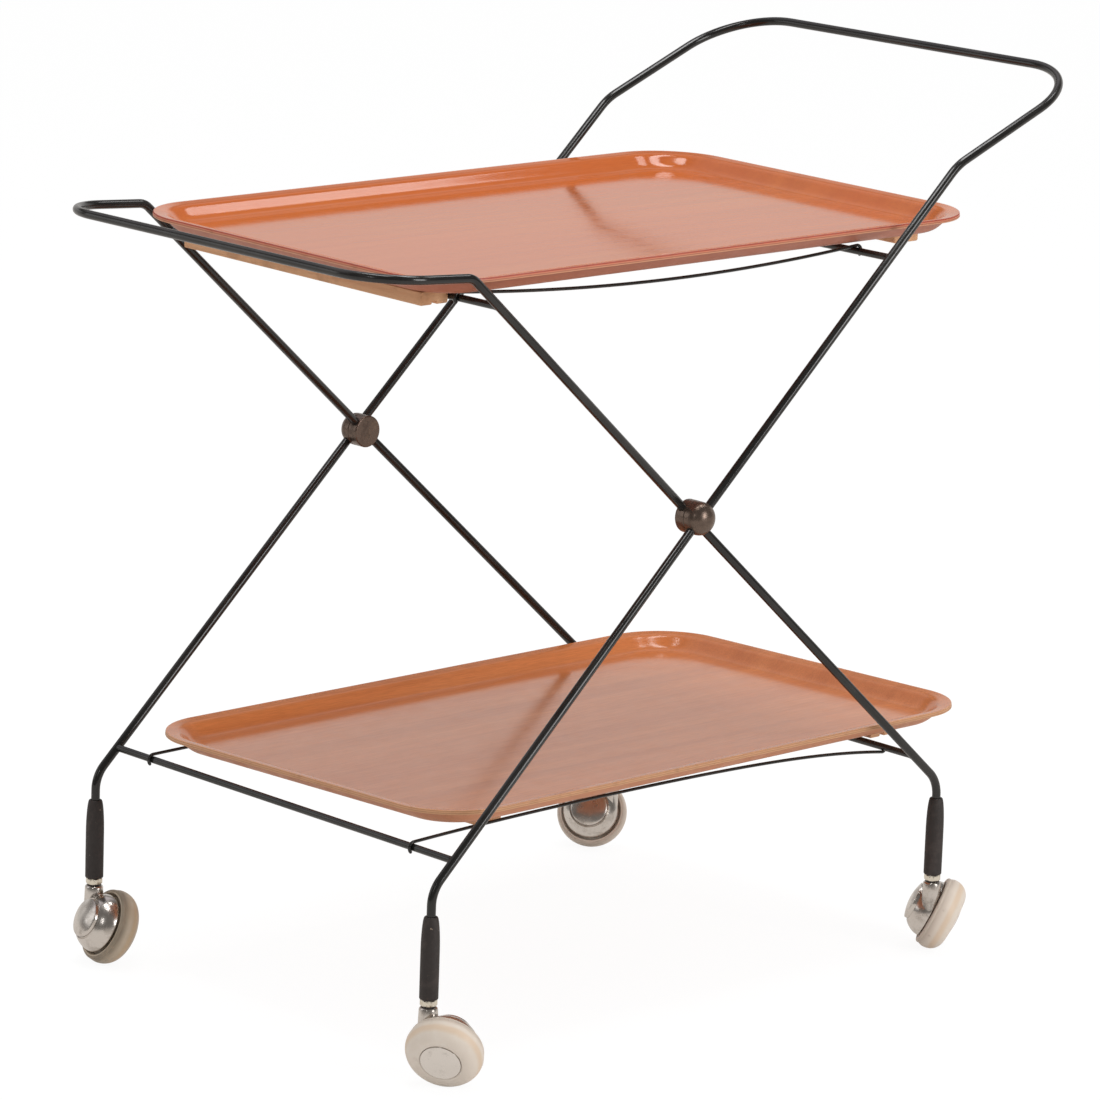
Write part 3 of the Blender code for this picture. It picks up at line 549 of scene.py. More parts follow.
def makeRodTree():
    # a path swept into a rod with rounded tips, and with swollen ends where it is welded on
    tree = bpy.data.node_groups.new("rodAlongPath", "GeometryNodeTree")
    face = tree.interface
    for label, kind in (("Geometry",) * 2, ("Radius", "Float"), ("Sides", "Int"), ("Tip Length", "Float"),
                        ("Weld Reach", "Float"), ("Weld Swell", "Float"), ("Finish", "Material")):
        face.new_socket(label, in_out="INPUT", socket_type="NodeSocket" + kind)
    face.new_socket("Geometry", in_out="OUTPUT", socket_type="NodeSocketGeometry")
    given, made = tree.nodes.new("NodeGroupInput").outputs, tree.nodes.new("NodeGroupOutput").inputs
    path = addNode(tree, "GeometryNodeMeshToCurve", {"Mesh": given["Geometry"]})
    along = addNode(tree, "GeometryNodeSplineParameter").outputs["Length"]
    whole = addNode(tree, "GeometryNodeSplineLength").outputs["Length"]
    fromEnd = math2("MINIMUM", along, minus(whole, along))

    def nearEnd(reach):
        close = minus(1.0, math2("DIVIDE", fromEnd, given[reach], clamp=True))
        return math2("POWER", close, 2.0)

    tip = math2("MAXIMUM", math2("SQRT", minus(1.0, nearEnd("Tip Length"))), rodLook["leastTip"])
    swell = plus(times(nearEnd("Weld Reach"), given["Weld Swell"]), 1.0)
    inputs = {"Resolution": given["Sides"], "Radius": given["Radius"]}
    ring = addNode(tree, "GeometryNodeCurvePrimitiveCircle", inputs)
    inputs = {"Curve": path.outputs[0], "Profile Curve": ring.outputs[0], "Scale": times(tip, swell)}
    rod = addNode(tree, "GeometryNodeCurveToMesh", {"Fill Caps": True, **inputs})
    for kind, more in (("SetShadeSmooth", {}), ("RealizeInstances", {}),
                       ("SetMaterial", {"Material": given["Finish"]})):
        rod = addNode(tree, "GeometryNode" + kind, {"Geometry": rod.outputs[0], **more})
    feed(made[0], rod.outputs[0])
    return tree, {item.name: item.identifier for item in face.items_tree if item.in_out == "INPUT"}


rodTree, rodInputs = makeRodTree()


def withEndPoints(path, distances):
    # extra points near both ends, so that tips and welds have rings to follow
    for _ in range(2):
        start, rest = path[0], list(path[1:])
        fresh, left = [start], sorted(distances)
        travelled = 0.0
        while left and rest:
            step = (rest[0] - fresh[-1]).length
            if travelled + step > left[0] + 1e-7:
                spot = fresh[-1].lerp(rest[0], (left[0] - travelled) / step)
                fresh.append(spot)
                travelled = left.pop(0)
            else:
                travelled += step
                fresh.append(rest.pop(0))
        path = (fresh + rest)[::-1]
    return path


def rodPiece(name, node, path, radius, sides=24, tip=0.0015, weldReach=0.001, weldSwell=0.0):
    rings = {tip * s for s in rodLook["tipRings"]} | {weldReach * s for s in rodLook["weldRings"]}
    path = withEndPoints([Vector(p) for p in path], rings)
    mesh = bpy.data.meshes.new(name)
    mesh.from_pydata([tuple(p) for p in path], [(i, i + 1) for i in range(len(path) - 1)], [])
    work = newObject(f"{name}Path", mesh)
    change = work.modifiers.new("rod", "NODES")
    change.node_group = rodTree
    for label, value in (("Radius", radius), ("Sides", sides), ("Tip Length", tip), ("Weld Reach", weldReach),
                         ("Weld Swell", weldSwell), ("Finish", finishes["lacquer"])):
        change[rodInputs[label]] = value
    swept = outward(freeze(work))
    bpy.data.objects.remove(work)
    return place(name, swept, ["lacquer"], "lacquer", node)


def roundedPath(points, radii, steps=18):
    path = [Vector(points[0])]
    for before, corner, after, radius in zip(points, points[1:], points[2:], radii):
        corner = Vector(corner)
        into = (corner - Vector(before)).normalized()
        out = (Vector(after) - corner).normalized()
        turn = into.angle(out)
        center = corner + (out - into).normalized() * (radius / cos(turn / 2))
        first = corner - into * radius * tan(turn / 2) - center
        axis = into.cross(out).normalized()
        path += [center + Matrix.Rotation(turn * i / steps, 3, axis) @ first for i in range(steps + 1)]
    path.append(Vector(points[-1]))
    return path


cart = {
    "rodRadius": 0.004, "barRadius": 0.00325, "wireRadius": 0.0015, "gap": 0.0003, "pivotX": -0.054,
    "pivotZ": 0.458, "barrelRadius": 0.015, "barrelHalf": 0.011, "innerHalfWidth": 0.2185,
    "outerHalfWidth": 0.2298, "topBarZ": 0.668, "lowBarZ": 0.194, "stayY": 0.178
}
bows = {
    "knee": (0.2535, 0.7445), "kneeRadius": 0.060, "grip": (0.425, 0.815), "gripCorner": 0.072,
    "bend": (-0.3205, 0.6955), "bendRadius": 0.018, "loop": (-0.425, 0.7025), "loopCorner": 0.055
}
legs = {"left": (-0.356, 0.171), "right": (0.279, 0.165),                 # x, and the height of the bend
        "bendRadius": 0.030, "footZ": 0.1003, "socketFloor": 0.0071}
rodRadius, barRadius, wireRadius, gap = cart["rodRadius"], cart["barRadius"], cart["wireRadius"], cart["gap"]
pivotX, pivotZ = cart["pivotX"], cart["pivotZ"]
innerHalf, outerHalf = cart["innerHalfWidth"], cart["outerHalfWidth"]


def rodStart(y, corner):
    along = Vector((corner[0] - pivotX, 0, corner[1] - pivotZ)).normalized()
    return Vector((pivotX, y, pivotZ)) + along * legs["socketFloor"]


def bowPath(half, bend, tip, bendRadius, cornerRadius):
    points = []
    for y in (-half, half):
        arm = [rodStart(y, bend), (bend[0], y, bend[1]), (tip[0], y, tip[1])]
        points += arm if y < 0 else arm[::-1]
    return roundedPath(points, [bendRadius, cornerRadius, cornerRadius, bendRadius])


handlePath = bowPath(outerHalf, bows["knee"], bows["grip"], bows["kneeRadius"], bows["gripCorner"])
loopPath = bowPath(innerHalf, bows["bend"], bows["loop"], bows["bendRadius"], bows["loopCorner"])
rodPiece("handleRod", "handle_bow", handlePath, rodRadius, rodLook["bowSides"])
rodPiece("loopRod", "loop_bow", loopPath, rodRadius, rodLook["bowSides"])
sides = {"near": -1, "far": 1}
ends = {"left": (*legs["left"], outerHalf), "right": (*legs["right"], innerHalf)}
for end, (legX, bendZ, half) in ends.items():
    for side, sign in sides.items():
        y = sign * half
        path = roundedPath([rodStart(y, (legX, bendZ)), (legX, y, bendZ), (legX, y, legs["footZ"])],
                           [legs["bendRadius"]])
        rodPiece(f"{end}Leg.{side}", f"leg_{end}_{side}", path, rodRadius, rodLook["bowSides"])


def onRod(corner, z):
    return pivotX + (corner[0] - pivotX) * (z - pivotZ) / (corner[1] - pivotZ)


topZ, lowZ = cart["topBarZ"], cart["lowBarZ"]
bars = {
    "handle": (bows["knee"], topZ, outerHalf), "loop": (bows["bend"], topZ, innerHalf),
    "left_foot": (legs["left"], lowZ, outerHalf), "right_foot": (legs["right"], lowZ, innerHalf)
}
handleX, loopX, leftX, rightX = (onRod(corner, z) for corner, z, _ in bars.values())
weld = {"reach": 0.0052, "swell": 0.12, "sink": 0.0020}
for name, (corner, z, half) in bars.items():
    x, reach = onRod(corner, z), half - rodRadius + weld["sink"]
    rodPiece("bar." + name, name + "_crossbar", [(x, -reach, z), (x, reach, z)], barRadius,
             tip=rodLook["barTip"], weldReach=weld["reach"], weldSwell=weld["swell"])


stayLook = {
    "sag": 0.0106, "rise": 0.0087, "runSteps": 48, "hookSteps": 18, "hookTurn": 150.0, "underTurn": 100.0,
    "lowChange": 0.0037, "humpScale": 12.2, "humpPower": 4, "topSkew": 0.020
}
hookRadius = barRadius + gap + wireRadius


def runPoints(left, right, bulge, hump=0.0):
    # the hump lies towards the right end, clear of the bar that slides along the wire as the cart folds
    shares = [i / stayLook["runSteps"] for i in range(stayLook["runSteps"] + 1)]
    return [(left[0] + (right[0] - left[0]) * s,
             left[1] + (right[1] - left[1]) * s + 4 * bulge * s * (1 - s)
             + stayLook["humpScale"] * hump * s ** stayLook["humpPower"] * (1 - s)) for s in shares]


def hookPoints(x, z, start, sweep):
    return arcPoints((x, z), hookRadius, radians(start), radians(start + sweep), stayLook["hookSteps"])[1:]


def stayLine(level, drop=0.0, hump=0.0):
    if level == "top":
        return (hookPoints(loopX, topZ, 90, stayLook["hookTurn"])[::-1]
                + runPoints((loopX, topZ + hookRadius), (handleX, topZ + hookRadius), -stayLook["sag"])
                + hookPoints(handleX, topZ, 90, -stayLook["hookTurn"]))
    left, right = (leftX, lowZ + hookRadius), (rightX, lowZ - hookRadius)
    return (hookPoints(leftX, lowZ, 90, stayLook["hookTurn"])[::-1]
            + runPoints(left, right, stayLook["rise"] - drop, hump)
            + hookPoints(rightX, lowZ, -90, stayLook["underTurn"]))


for side, sign in sides.items():
    for level in ("top", "low"):
        drop, hump = (stayLook["lowChange"], 0) if side == "far" else (0, stayLook["lowChange"])
        line = stayLine(level, drop, hump)
        askew = stayLook["topSkew"] if (level, side) == ("top", "near") else 0.0
        first, last, middle = line[0][0], line[-1][0], sign * cart["stayY"]
        path = [(x, middle - askew * (x - first) / (last - first) + askew / 2, z) for x, z in line]
        rodPiece(f"{level}Stay.{side}", f"stay_{level}_{side}", path, wireRadius, sides=14, tip=wireRadius)
print("rods, bars and stays built")


barrelLook = {
    "innerEdge": 0.0014, "ballStart": 0.0048, "ballEnd": 0.0172, "ballPower": 2.15, "seamEdge": 0.0004,
    "ballSteps": 20, "socketFloor": 0.0068, "socketPlay": 0.00015, "pin": 0.0037, "pinReach": 0.0069,
    "endWall": 0.0005
}


def barrelMesh(side, inner):
    look, sign = barrelLook, sides[side]
    radius, depth = cart["barrelRadius"], cart["barrelHalf"]
    seam = innerHalf + depth / 2 + (0 if inner else gap)
    soft = look["seamEdge"]
    profile = [(0, 0), (radius - soft, 0), (radius, soft)]
    if inner:
        edge = look["innerEdge"]
        profile += arcPoints((radius - edge, depth - edge), edge, 0, pi / 2, 6) + [(0, depth)]
    else:
        start, reach, power = look["ballStart"], look["ballEnd"] - look["ballStart"], 2 / look["ballPower"]
        for i in range(look["ballSteps"] + 1):
            a = pi / 2 * i / look["ballSteps"]
            profile.append((radius * cos(a) ** power if i < look["ballSteps"] else 0.0,
                            start + reach * sin(a) ** power))
    mesh = turnedMesh(profile, 80)
    mesh.transform(Matrix.Translation((pivotX, sign * seam, pivotZ))
                   @ Matrix.Rotation((1 if inner else -1) * sign * pi / 2, 4, "X"))
    y = sign * (innerHalf if inner else outerHalf)
    cuts = []
    for corner in ((bows["bend"], legs["right"]) if inner else (bows["knee"], legs["left"])):
        along = Vector((corner[0] - pivotX, 0, corner[1] - pivotZ)).normalized()
        start = Vector((pivotX, y, pivotZ)) + along * look["socketFloor"]
        cuts.append(("DIFFERENCE", cutterMesh(start, along, 0.02, rodRadius + look["socketPlay"])))
    first = innerHalf - depth / 2 + look["endWall"]
    reach = outerHalf - depth / 2 + look["pinReach"] - first
    bore = cutterMesh(Vector((pivotX, sign * first, pivotZ)), Vector((0, sign, 0)), reach, look["pin"])
    return combine(mesh, cuts + [("DIFFERENCE", bore)])


def cutterMesh(start, along, length, radius):
    mesh = turnedMesh([(0, 0), (radius, 0), (radius, length), (0, length)], 40)
    mesh.transform(Matrix.Translation(start) @ along.to_track_quat("Z", "Y").to_matrix().to_4x4())
    return mesh


for side in sides:
    for half in ("inner", "outer"):
        place(f"barrel.{half}.{side}", barrelMesh(side, half == "inner"), ["bronze"], "bronze",
              f"barrel_{half}_{side}")
print("barrels built")


trayLook = {
    "length": 0.674, "width": 0.420, "corner": 0.066, "ply": 0.004, "rim": 0.0179, "lip": 0.008,
    "cove": 0.0185, "crest": 0.0065, "wallAngle": 45.0, "lipAngle": 8.0, "round": 0.0007, "cornerSteps": 26,
    "crestSteps": 8, "coveSteps": 14, "topX": -0.016, "lowX": 0.009, "topTilt": 0.5, "topLift": 0.0013,
    "lowTilt": -1.2, "lowTurn": 0.8, "lowLift": -0.0008
}


def bendLine(length, first, last, steps):
    # points along a bend whose slope eases from one angle to another: (run, fall, slope)
    run = fall = 0.0
    line, fine = [], 12
    step = length / (steps * fine)

    def slopeAt(share):
        return first + (last - first) * (3 - 2 * share) * share ** 2

    for i in range(steps * fine):
        slope = slopeAt((i + 0.5) / (steps * fine))
        run += cos(slope) * step
        fall += sin(slope) * step
        if (i + 1) % fine == 0:
            line.append((run, fall, slopeAt((i + 1) / (steps * fine))))
    return line


def traySection():
    # middle line of the wall as (inset, height, slope), from the lip in to the floor
    look = trayLook
    lipTurn, wallTurn = radians(look["lipAngle"]), radians(look["wallAngle"])
    start, half = look["rim"] - look["ply"] / 2, look["ply"] / 2
    crest = bendLine(look["crest"], lipTurn, wallTurn, look["crestSteps"])
    cove = bendLine(look["cove"], wallTurn, 0.0, look["coveSteps"])
    section = [(look["lip"] * share * cos(lipTurn), start - look["lip"] * share * sin(lipTurn), lipTurn)
               for share in (0.0, 0.3, 0.65, 1.0)]
    drop = start - look["lip"] * sin(lipTurn) - crest[-1][1] - cove[-1][1] - half
    for line in (crest, [(drop / tan(wallTurn), drop, wallTurn)], cove):
        inset, height, _ = section[-1]
        section += [(inset + run, height - fall, slope) for run, fall, slope in line]
    return section


def trayMesh(centerX, floorZ):
    look = trayLook
    half, soft, turn = look["ply"] / 2, look["round"], radians(look["lipAngle"])
    top, bottom = ([(i + way * sin(t) * half, h + way * cos(t) * half) for i, h, t in traySection()]
                   for way in (1, -1))
    lip = min(i for i, _ in top + bottom)
    inward, up = (cos(turn) * soft, -sin(turn) * soft), (sin(turn) * soft, cos(turn) * soft)
    edge = []                                   # the cut edge of the lip with its two rounded corners
    for corner, way in ((bottom[0], 1), (top[0], -1)):
        middle = (corner[0] + inward[0] + way * up[0], corner[1] + inward[1] + way * up[1])
        for a in [radians(90 * k / 4) for k in range(5)][::way]:
            edge.append((middle[0] - inward[0] * sin(a) - way * up[0] * cos(a),
                         middle[1] - inward[1] * sin(a) - way * up[1] * cos(a)))
    outline = bottom[:0:-1] + edge + top[1:]
    edgeFrom, edgeTo = len(bottom), len(bottom) + 7
    halfX, halfY = look["length"] / 2 - look["corner"], look["width"] / 2 - look["corner"]
    steps = look["cornerSteps"]
    points = [(centerX + x, y, floorZ + height) for inset, height in outline
              for quarter, (sx, sy) in enumerate(((1, 1), (-1, 1), (-1, -1), (1, -1)))
              for x, y in arcPoints((sx * halfX, sy * halfY), look["corner"] - (inset - lip),
                                    quarter * pi / 2, (quarter + 1) * pi / 2, steps)]
    ring = 4 * (steps + 1)
    lengths = [0.0]
    for a, b in zip(outline, outline[1:]):
        lengths.append(lengths[-1] + dist(a, b))
    levels = [(s - lengths[edgeFrom]) / (lengths[edgeTo] - lengths[edgeFrom]) for s in lengths]
    uvs = [((i / ring, low), ((i + 1) / ring, low), ((i + 1) / ring, high), (i / ring, high))
           for low, high in zip(levels, levels[1:]) for i in range(ring)]
    looks = [2 if k < edgeFrom else 1 if k < edgeTo else 0
             for k in range(len(outline) - 1) for _ in range(ring)]
    last = (len(outline) - 1) * ring
    faces = ringFaces(len(outline), ring) + [list(range(ring))[::-1], list(range(last, last + ring))]
    uvs += [[points[i][:2] for i in loop] for loop in faces[-2:]]
    return outward(meshFrom(points, faces, uvs, looks + [2, 0], 50))


topFloorZ = max(z for _, z in stayLine("top")) + wireRadius + gap
lowFloorZ = max(z for _, z in stayLine("low")) + wireRadius + gap


def settle(centerX, floorZ, lift, tilt, turn):
    # how a loose tray lies in the photo, a little askew on its stays
    spot = Matrix.Translation((centerX, 0, floorZ))
    return (Matrix.Translation((0, 0, lift)) @ spot @ Matrix.Rotation(radians(turn), 4, "Z")
            @ Matrix.Rotation(radians(tilt), 4, "X") @ spot.inverted())


look = trayLook
settled = {
    "top": settle(look["topX"], topFloorZ, look["topLift"], look["topTilt"], 0.0),
    "low": settle(look["lowX"], lowFloorZ, look["lowLift"], look["lowTilt"], look["lowTurn"])
}
for level, centerX, floorZ in (("top", look["topX"], topFloorZ), ("low", look["lowX"], lowFloorZ)):
    mesh = trayMesh(centerX, floorZ)
    mesh.transform(settled[level])
    place(level + "Tray", mesh, [level + "Veneer", level + "Edge", level + "Back"], "teak", "tray_" + level)


battenSize = {
    "width": 0.031, "height": 0.012, "length": 0.316, "groove": 0.006, "grooveDepth": 0.003,
    "notchRadius": 0.005, "notchInset": 0.018, "round": 0.0016, "topEdge": 0.0006, "bevel": 0.0009,
    "endShare": 0.93, "endEase": 0.6, "grooveEase": (0.92, 0.9), "clear": 0.0022, "topRightX": 0.267,
    "lowLeftX": -0.233
}
battenGap = barRadius + gap + battenSize["width"] / 2
battenX = {
    "batten_top_left": loopX - battenGap, "batten_top_right": battenSize["topRightX"],
    "batten_low_right": rightX + battenGap + battenSize["clear"], "batten_low_left": battenSize["lowLeftX"]
}


def battenMesh(x, floorZ, notched):
    size = battenSize
    top = floorZ - gap
    low, halfW, r = top - size["height"], size["width"] / 2, size["round"]
    g, depth, soft = size["groove"] / 2, size["grooveDepth"], size["topEdge"]
    across, down = size["grooveEase"]
    right = [(g * across, low + depth), (g, low + depth * down), (g, low + r / 2), (g + r / 2, low)]
    right += arcPoints((halfW - r, low + r), r, -pi / 2, 0, 6) + [(halfW, top - soft), (halfW - soft, top)]
    outline = right + [(-a, b) for a, b in right[::-1]]
    count, middle = len(outline), top - size["height"] / 2
    halfL, bevel, shrunk = size["length"] / 2, size["bevel"], size["endShare"]
    points = [(x + a * (1 - (1 - share) * size["endEase"]), y, middle + (b - middle) * share)
              for y, share in ((-halfL, shrunk), (-halfL + bevel, 1.0), (halfL - bevel, 1.0), (halfL, shrunk))
              for a, b in outline]
    faces = ringFaces(4, count) + [list(range(count))[::-1], list(range(3 * count, 4 * count))]
    mesh = outward(meshFrom(points, faces))
    if not notched:
        return mesh
    starts = [Vector((x - 0.02, sign * (halfL - size["notchInset"]), low)) for sign in (-1, 1)]
    return combine(mesh, [("DIFFERENCE", cutterMesh(start, Vector((1, 0, 0)), 0.04, size["notchRadius"]))
                          for start in starts])


for node, x in battenX.items():
    level = node.split("_")[1]
    mesh = battenMesh(x, {"top": topFloorZ, "low": lowFloorZ}[level], node == "batten_low_right")
    mesh.transform(settled[level])
    place("wood." + node, mesh, ["batten"], "batten", node)
print("trays and battens built")


sleeveSize = {
    "top": 0.149, "foot": 0.0757, "radius": 0.0083, "taper": 0.031, "lip": 0.0055, "edge": 0.0012,
    "play": 0.00012, "mouthEdge": ((0, -4), (6, 0)), "steps": 16, "drop": 0.0002, "belly": (1.004, 0.100),
    "footRise": 0.004
}
# the dark ring under the collar, from the collar foot down to its own foot, is painted shade for the gap
# between collar and neck
stemSize = {
    "topZ": 0.100, "collarTop": 0.0754, "collarFoot": 0.0702, "across": 0.0070, "corner": 1.085,
    "edge": 0.0006, "shadeRing": 0.0064, "shadeRingFoot": 0.0688, "spigot": 0.0026, "spigotFoot": 0.0617,
    "play": 0.0002, "rimShare": 0.99, "steps": 48
}
caster = {
    "tilt": 25.0, "trail": 0.0175, "height": 0.0364, "tyreRadius": 0.0345, "tyreDepth": 0.0235,
    "bulge": 0.0085, "faceRadius": 0.021, "hoodRadius": 0.0275, "hoodDepth": 0.0225, "bossRadius": 0.018,
    "wall": 0.002, "neckTop": 0.0082, "neckFoot": 0.0095, "neckTopZ": 0.0685, "neckBore": 0.0029,
    "capRadius": 0.018, "capDome": 0.0025, "capSink": 0.003, "axle": 0.0033, "shoulder": 0.96,
    "tyreSeen": 0.0325, "bossStep": 0.0194, "spigotTop": 0.0614,
    "neckEdge": ((3.5, -75), (1, -16), (-2, -9), (-8, -2), (-11, 0), (-18, 0), (-22, -10)),
    "rimEdge": ((-6, 0), (-1, -6)), "grooveEdge": ((11, 3), (4, 6), (0, 2)),
    "bossEdge": ((-1, 10), (-3, 3), (-8, 0)),
    "lipEdge": ((-12, 28), (-15, 34), (-12, 41), (-7, 53), (-3, 66)), "lipRound": (0.0036, 0.0027, 0.0024),
    "domeSteps": 20, "domeStop": 0.0016, "bossDomeSteps": 12, "bossDomeEdge": 0.0008, "treadSteps": 32,
    "holeEdge": ((12, 1), (4, -2), (0, -8)), "hidden": ((0.007, 0.001), (0.007, 0.006), (0.0275, 0.006)),
    "play": 0.0003, "capRound": 0.0005, "capSteps": 14, "capShare": 0.965
}
casterTurn = {
    "left_near": (-146.7, 1), "left_far": (-13.2, -1), "right_near": (-49.2, 1), "right_far": (38.9, 1)
}


def offsets(corner, steps):
    # points of a profile given from a corner in tenths of a millimetre
    return [(corner[0] + a / 10000, corner[1] + b / 10000) for a, b in steps]


def sleeveMesh(x, y):
    size = sleeveSize
    bore, lip, top, full = rodRadius + size["play"], size["lip"], size["top"], size["radius"]
    profile = offsets((bore, top), size["mouthEdge"])
    for i in range(size["steps"] + 1):
        a = pi / 2 * i / size["steps"]
        profile.append((lip + (full - lip) * sin(a), top - size["drop"] - size["taper"] * (1 - cos(a))))
    profile += [(full * size["belly"][0], size["belly"][1]), (full, size["foot"] + size["footRise"])]
    profile += arcPoints((full - size["edge"], size["foot"] + size["edge"]), size["edge"], 0, -pi / 2, 5)
    mesh = turnedMesh(profile + [(bore, size["foot"])], 40, closed=True)
    mesh.transform(Matrix.Translation((x, y, 0)))
    return mesh


def stemMesh(x, y, turn):
    # a spindle, a six-sided collar with chamfered corners, a dark ring under the collar as painted shade for
    # the gap there, and the spigot
    size = stemSize
    top, foot, soft, across = size["collarTop"], size["collarFoot"], size["edge"], size["across"]
    spindle, rim = rodRadius - size["play"], across * size["rimShare"]
    rows = [(size["topZ"], spindle), (top, spindle), (top, rim), (top - soft, None), (foot + soft, None),
            (foot, rim), (foot, size["shadeRing"]), (size["shadeRingFoot"], size["shadeRing"]),
            (size["shadeRingFoot"], size["spigot"]), (size["spigotFoot"], size["spigot"])]
    steps, points = size["steps"], []
    for z, radius in rows:
        for i in range(steps):
            a = 2 * pi * i / steps
            off = (a + pi / 6) % (pi / 3) - pi / 6
            reach = radius or min(across / cos(off), across * size["corner"])
            points.append((x + reach * cos(a + turn), y + reach * sin(a + turn), z))
    last = (len(rows) - 1) * steps
    faces = ringFaces(len(rows), steps) + [list(range(steps)), list(range(last, last + steps))]
    # the ring under the collar takes the near-black sleeve finish: painted shade in the gap there
    looks = [1 if k in (6, 7) else 0 for k in range(len(rows) - 1) for _ in range(steps)] + [0, 0]
    return outward(meshFrom(points, faces, None, looks, 25))


def domeProfile():
    size = caster
    radius, depth, boss = size["hoodRadius"], size["hoodDepth"], size["bossRadius"]
    stop, steps = acos((boss + size["domeStop"]) / radius), size["domeSteps"]
    outer = offsets((radius, 0), size["rimEdge"])
    outer += [(radius * cos(stop * i / steps), -depth * sin(stop * i / steps)) for i in range(1, steps + 1)]
    grooveZ, step, steps = outer[-1][1], size["bossStep"], size["bossDomeSteps"]
    outer += offsets((boss, grooveZ), size["grooveEdge"]) + offsets((boss, -step), size["bossEdge"])
    for i in range(1, steps + 1):
        share = 1 - i / steps
        outer.append(((boss - size["bossDomeEdge"]) * share, -depth + (depth - step) * share ** 2))
    inner = [(0, -2 * size["wall"]), (boss, -2 * size["wall"]), (radius - size["wall"], -size["wall"]),
             (radius - size["wall"], 0)]
    return inner + outer


def neckProfile():
    size = caster
    neck, top, bore = size["neckTop"], size["neckTopZ"], size["neckBore"]
    foot, end = size["height"], size["spigotTop"]
    return [(0, foot), (size["neckFoot"], foot), *offsets((neck, top), size["neckEdge"]),
            (bore, top - 0.0010), (bore, end), (0, end)]


def tyreProfile():
    size = caster
    full, face, bulge, depth = size["tyreRadius"], size["faceRadius"], size["bulge"], size["tyreDepth"]
    inset, height, soft = size["lipRound"]
    tread = arcPoints((full - inset, height), soft, -pi / 2, radians(-8), 7)
    tread += offsets((full, 0), size["lipEdge"])
    for i in range(size["treadSteps"] + 1):
        a = pi / 2 * i / size["treadSteps"]
        tread.append((face + (full - face) * max(cos(a), 0.0) ** size["shoulder"],
                      bulge + (depth - bulge) * sin(a) ** size["shoulder"]))
    hole, seat, axle = size["capRadius"] + size["play"], depth - size["capSink"], size["axle"]
    return tread + [*offsets((hole, depth), size["holeEdge"]), (hole, seat), (axle, seat), (axle, 0.001),
                    *size["hidden"], (0.02925, 0.0009), (full - 0.0048, 0.0003)]


def capProfile():
    size = caster
    radius, top, play, soft = size["capRadius"], size["tyreDepth"], size["play"], size["capRound"]
    seat = top - size["capSink"] + play
    profile = [(0, seat), (radius, seat), (radius, top - play)]
    profile += arcPoints((radius - soft, top - play), soft, radians(15), radians(75), 4)
    for i in range(1, size["capSteps"] + 1):
        share = 1 - i / size["capSteps"]
        rise = (size["capDome"] - 0.0001) * (1 - share ** 2)
        profile.append((radius * size["capShare"] * share, top + 0.0001 + rise))
    return profile


def wheelAxis(hand):
    return (Matrix.Translation((0, hand * caster["trail"], caster["height"]))
            @ Matrix.Rotation(radians(90 + caster["tilt"]), 4, "Y"))


def hoodMesh(hand):
    neck = turnedMesh(neckProfile(), 64)
    beyond = turnedMesh([(0, -0.0003), (0.06, -0.0003), (0.06, 0.06), (0, 0.06)], 48)
    dome = turnedMesh(domeProfile(), 96, sharp=50)
    hole = turnedMesh([(0, -0.012), (caster["axle"], -0.012), (caster["axle"], 0.001), (0, 0.001)], 32)
    for part in (beyond, dome, hole):
        part.transform(wheelAxis(hand))
    return combine(neck, [("DIFFERENCE", beyond), ("UNION", dome), ("DIFFERENCE", hole)])


hoods = {hand: hoodMesh(hand) for hand in (1, -1)}
for end, (legX, _, half) in ends.items():
    for side, sign in sides.items():
        corner, y = f"{end}_{side}", sign * half
        heading, hand = casterTurn[corner]
        place(f"sleeve.{end}.{side}", sleeveMesh(legX, y), ["sleeve"], "sleeve", f"sleeve_{corner}")
        place(f"stem.{end}.{side}", stemMesh(legX, y, radians(heading * 1.7)), ["nickel", "sleeve"], "nickel",
              f"caster_stem_{corner}")
        swivel = Matrix.Translation((legX, y, 0)) @ Matrix.Rotation(radians(heading), 4, "Z")
        hood = hoods[hand].copy()
        hood.transform(swivel)
        tyre = turnedMesh(tyreProfile(), 96, closed=True, seen=caster["tyreSeen"], sharp=40)
        cap = turnedMesh(capProfile(), 96)
        for part in (tyre, cap):
            part.transform(swivel @ wheelAxis(hand))
        place(f"hood.{end}.{side}", hood, ["chrome"], "chrome", f"caster_{corner}_hood")
        place(f"tyre.{end}.{side}", tyre, ["dirtAndShadeTyre" if corner == "left_far" else "tyre"], "tyre",
              f"caster_{corner}_tyre")
        place(f"cap.{end}.{side}", cap, ["cap"], "chrome", f"caster_{corner}_cap")
print("sleeves, stems and casters built")

for node, obj in frame["nodes"].items():       # pins and axles stay the part's own solids
    if not obj.hide_render:
        obj.data.materials.clear()
        obj.data.materials.append(finishes["steel"])


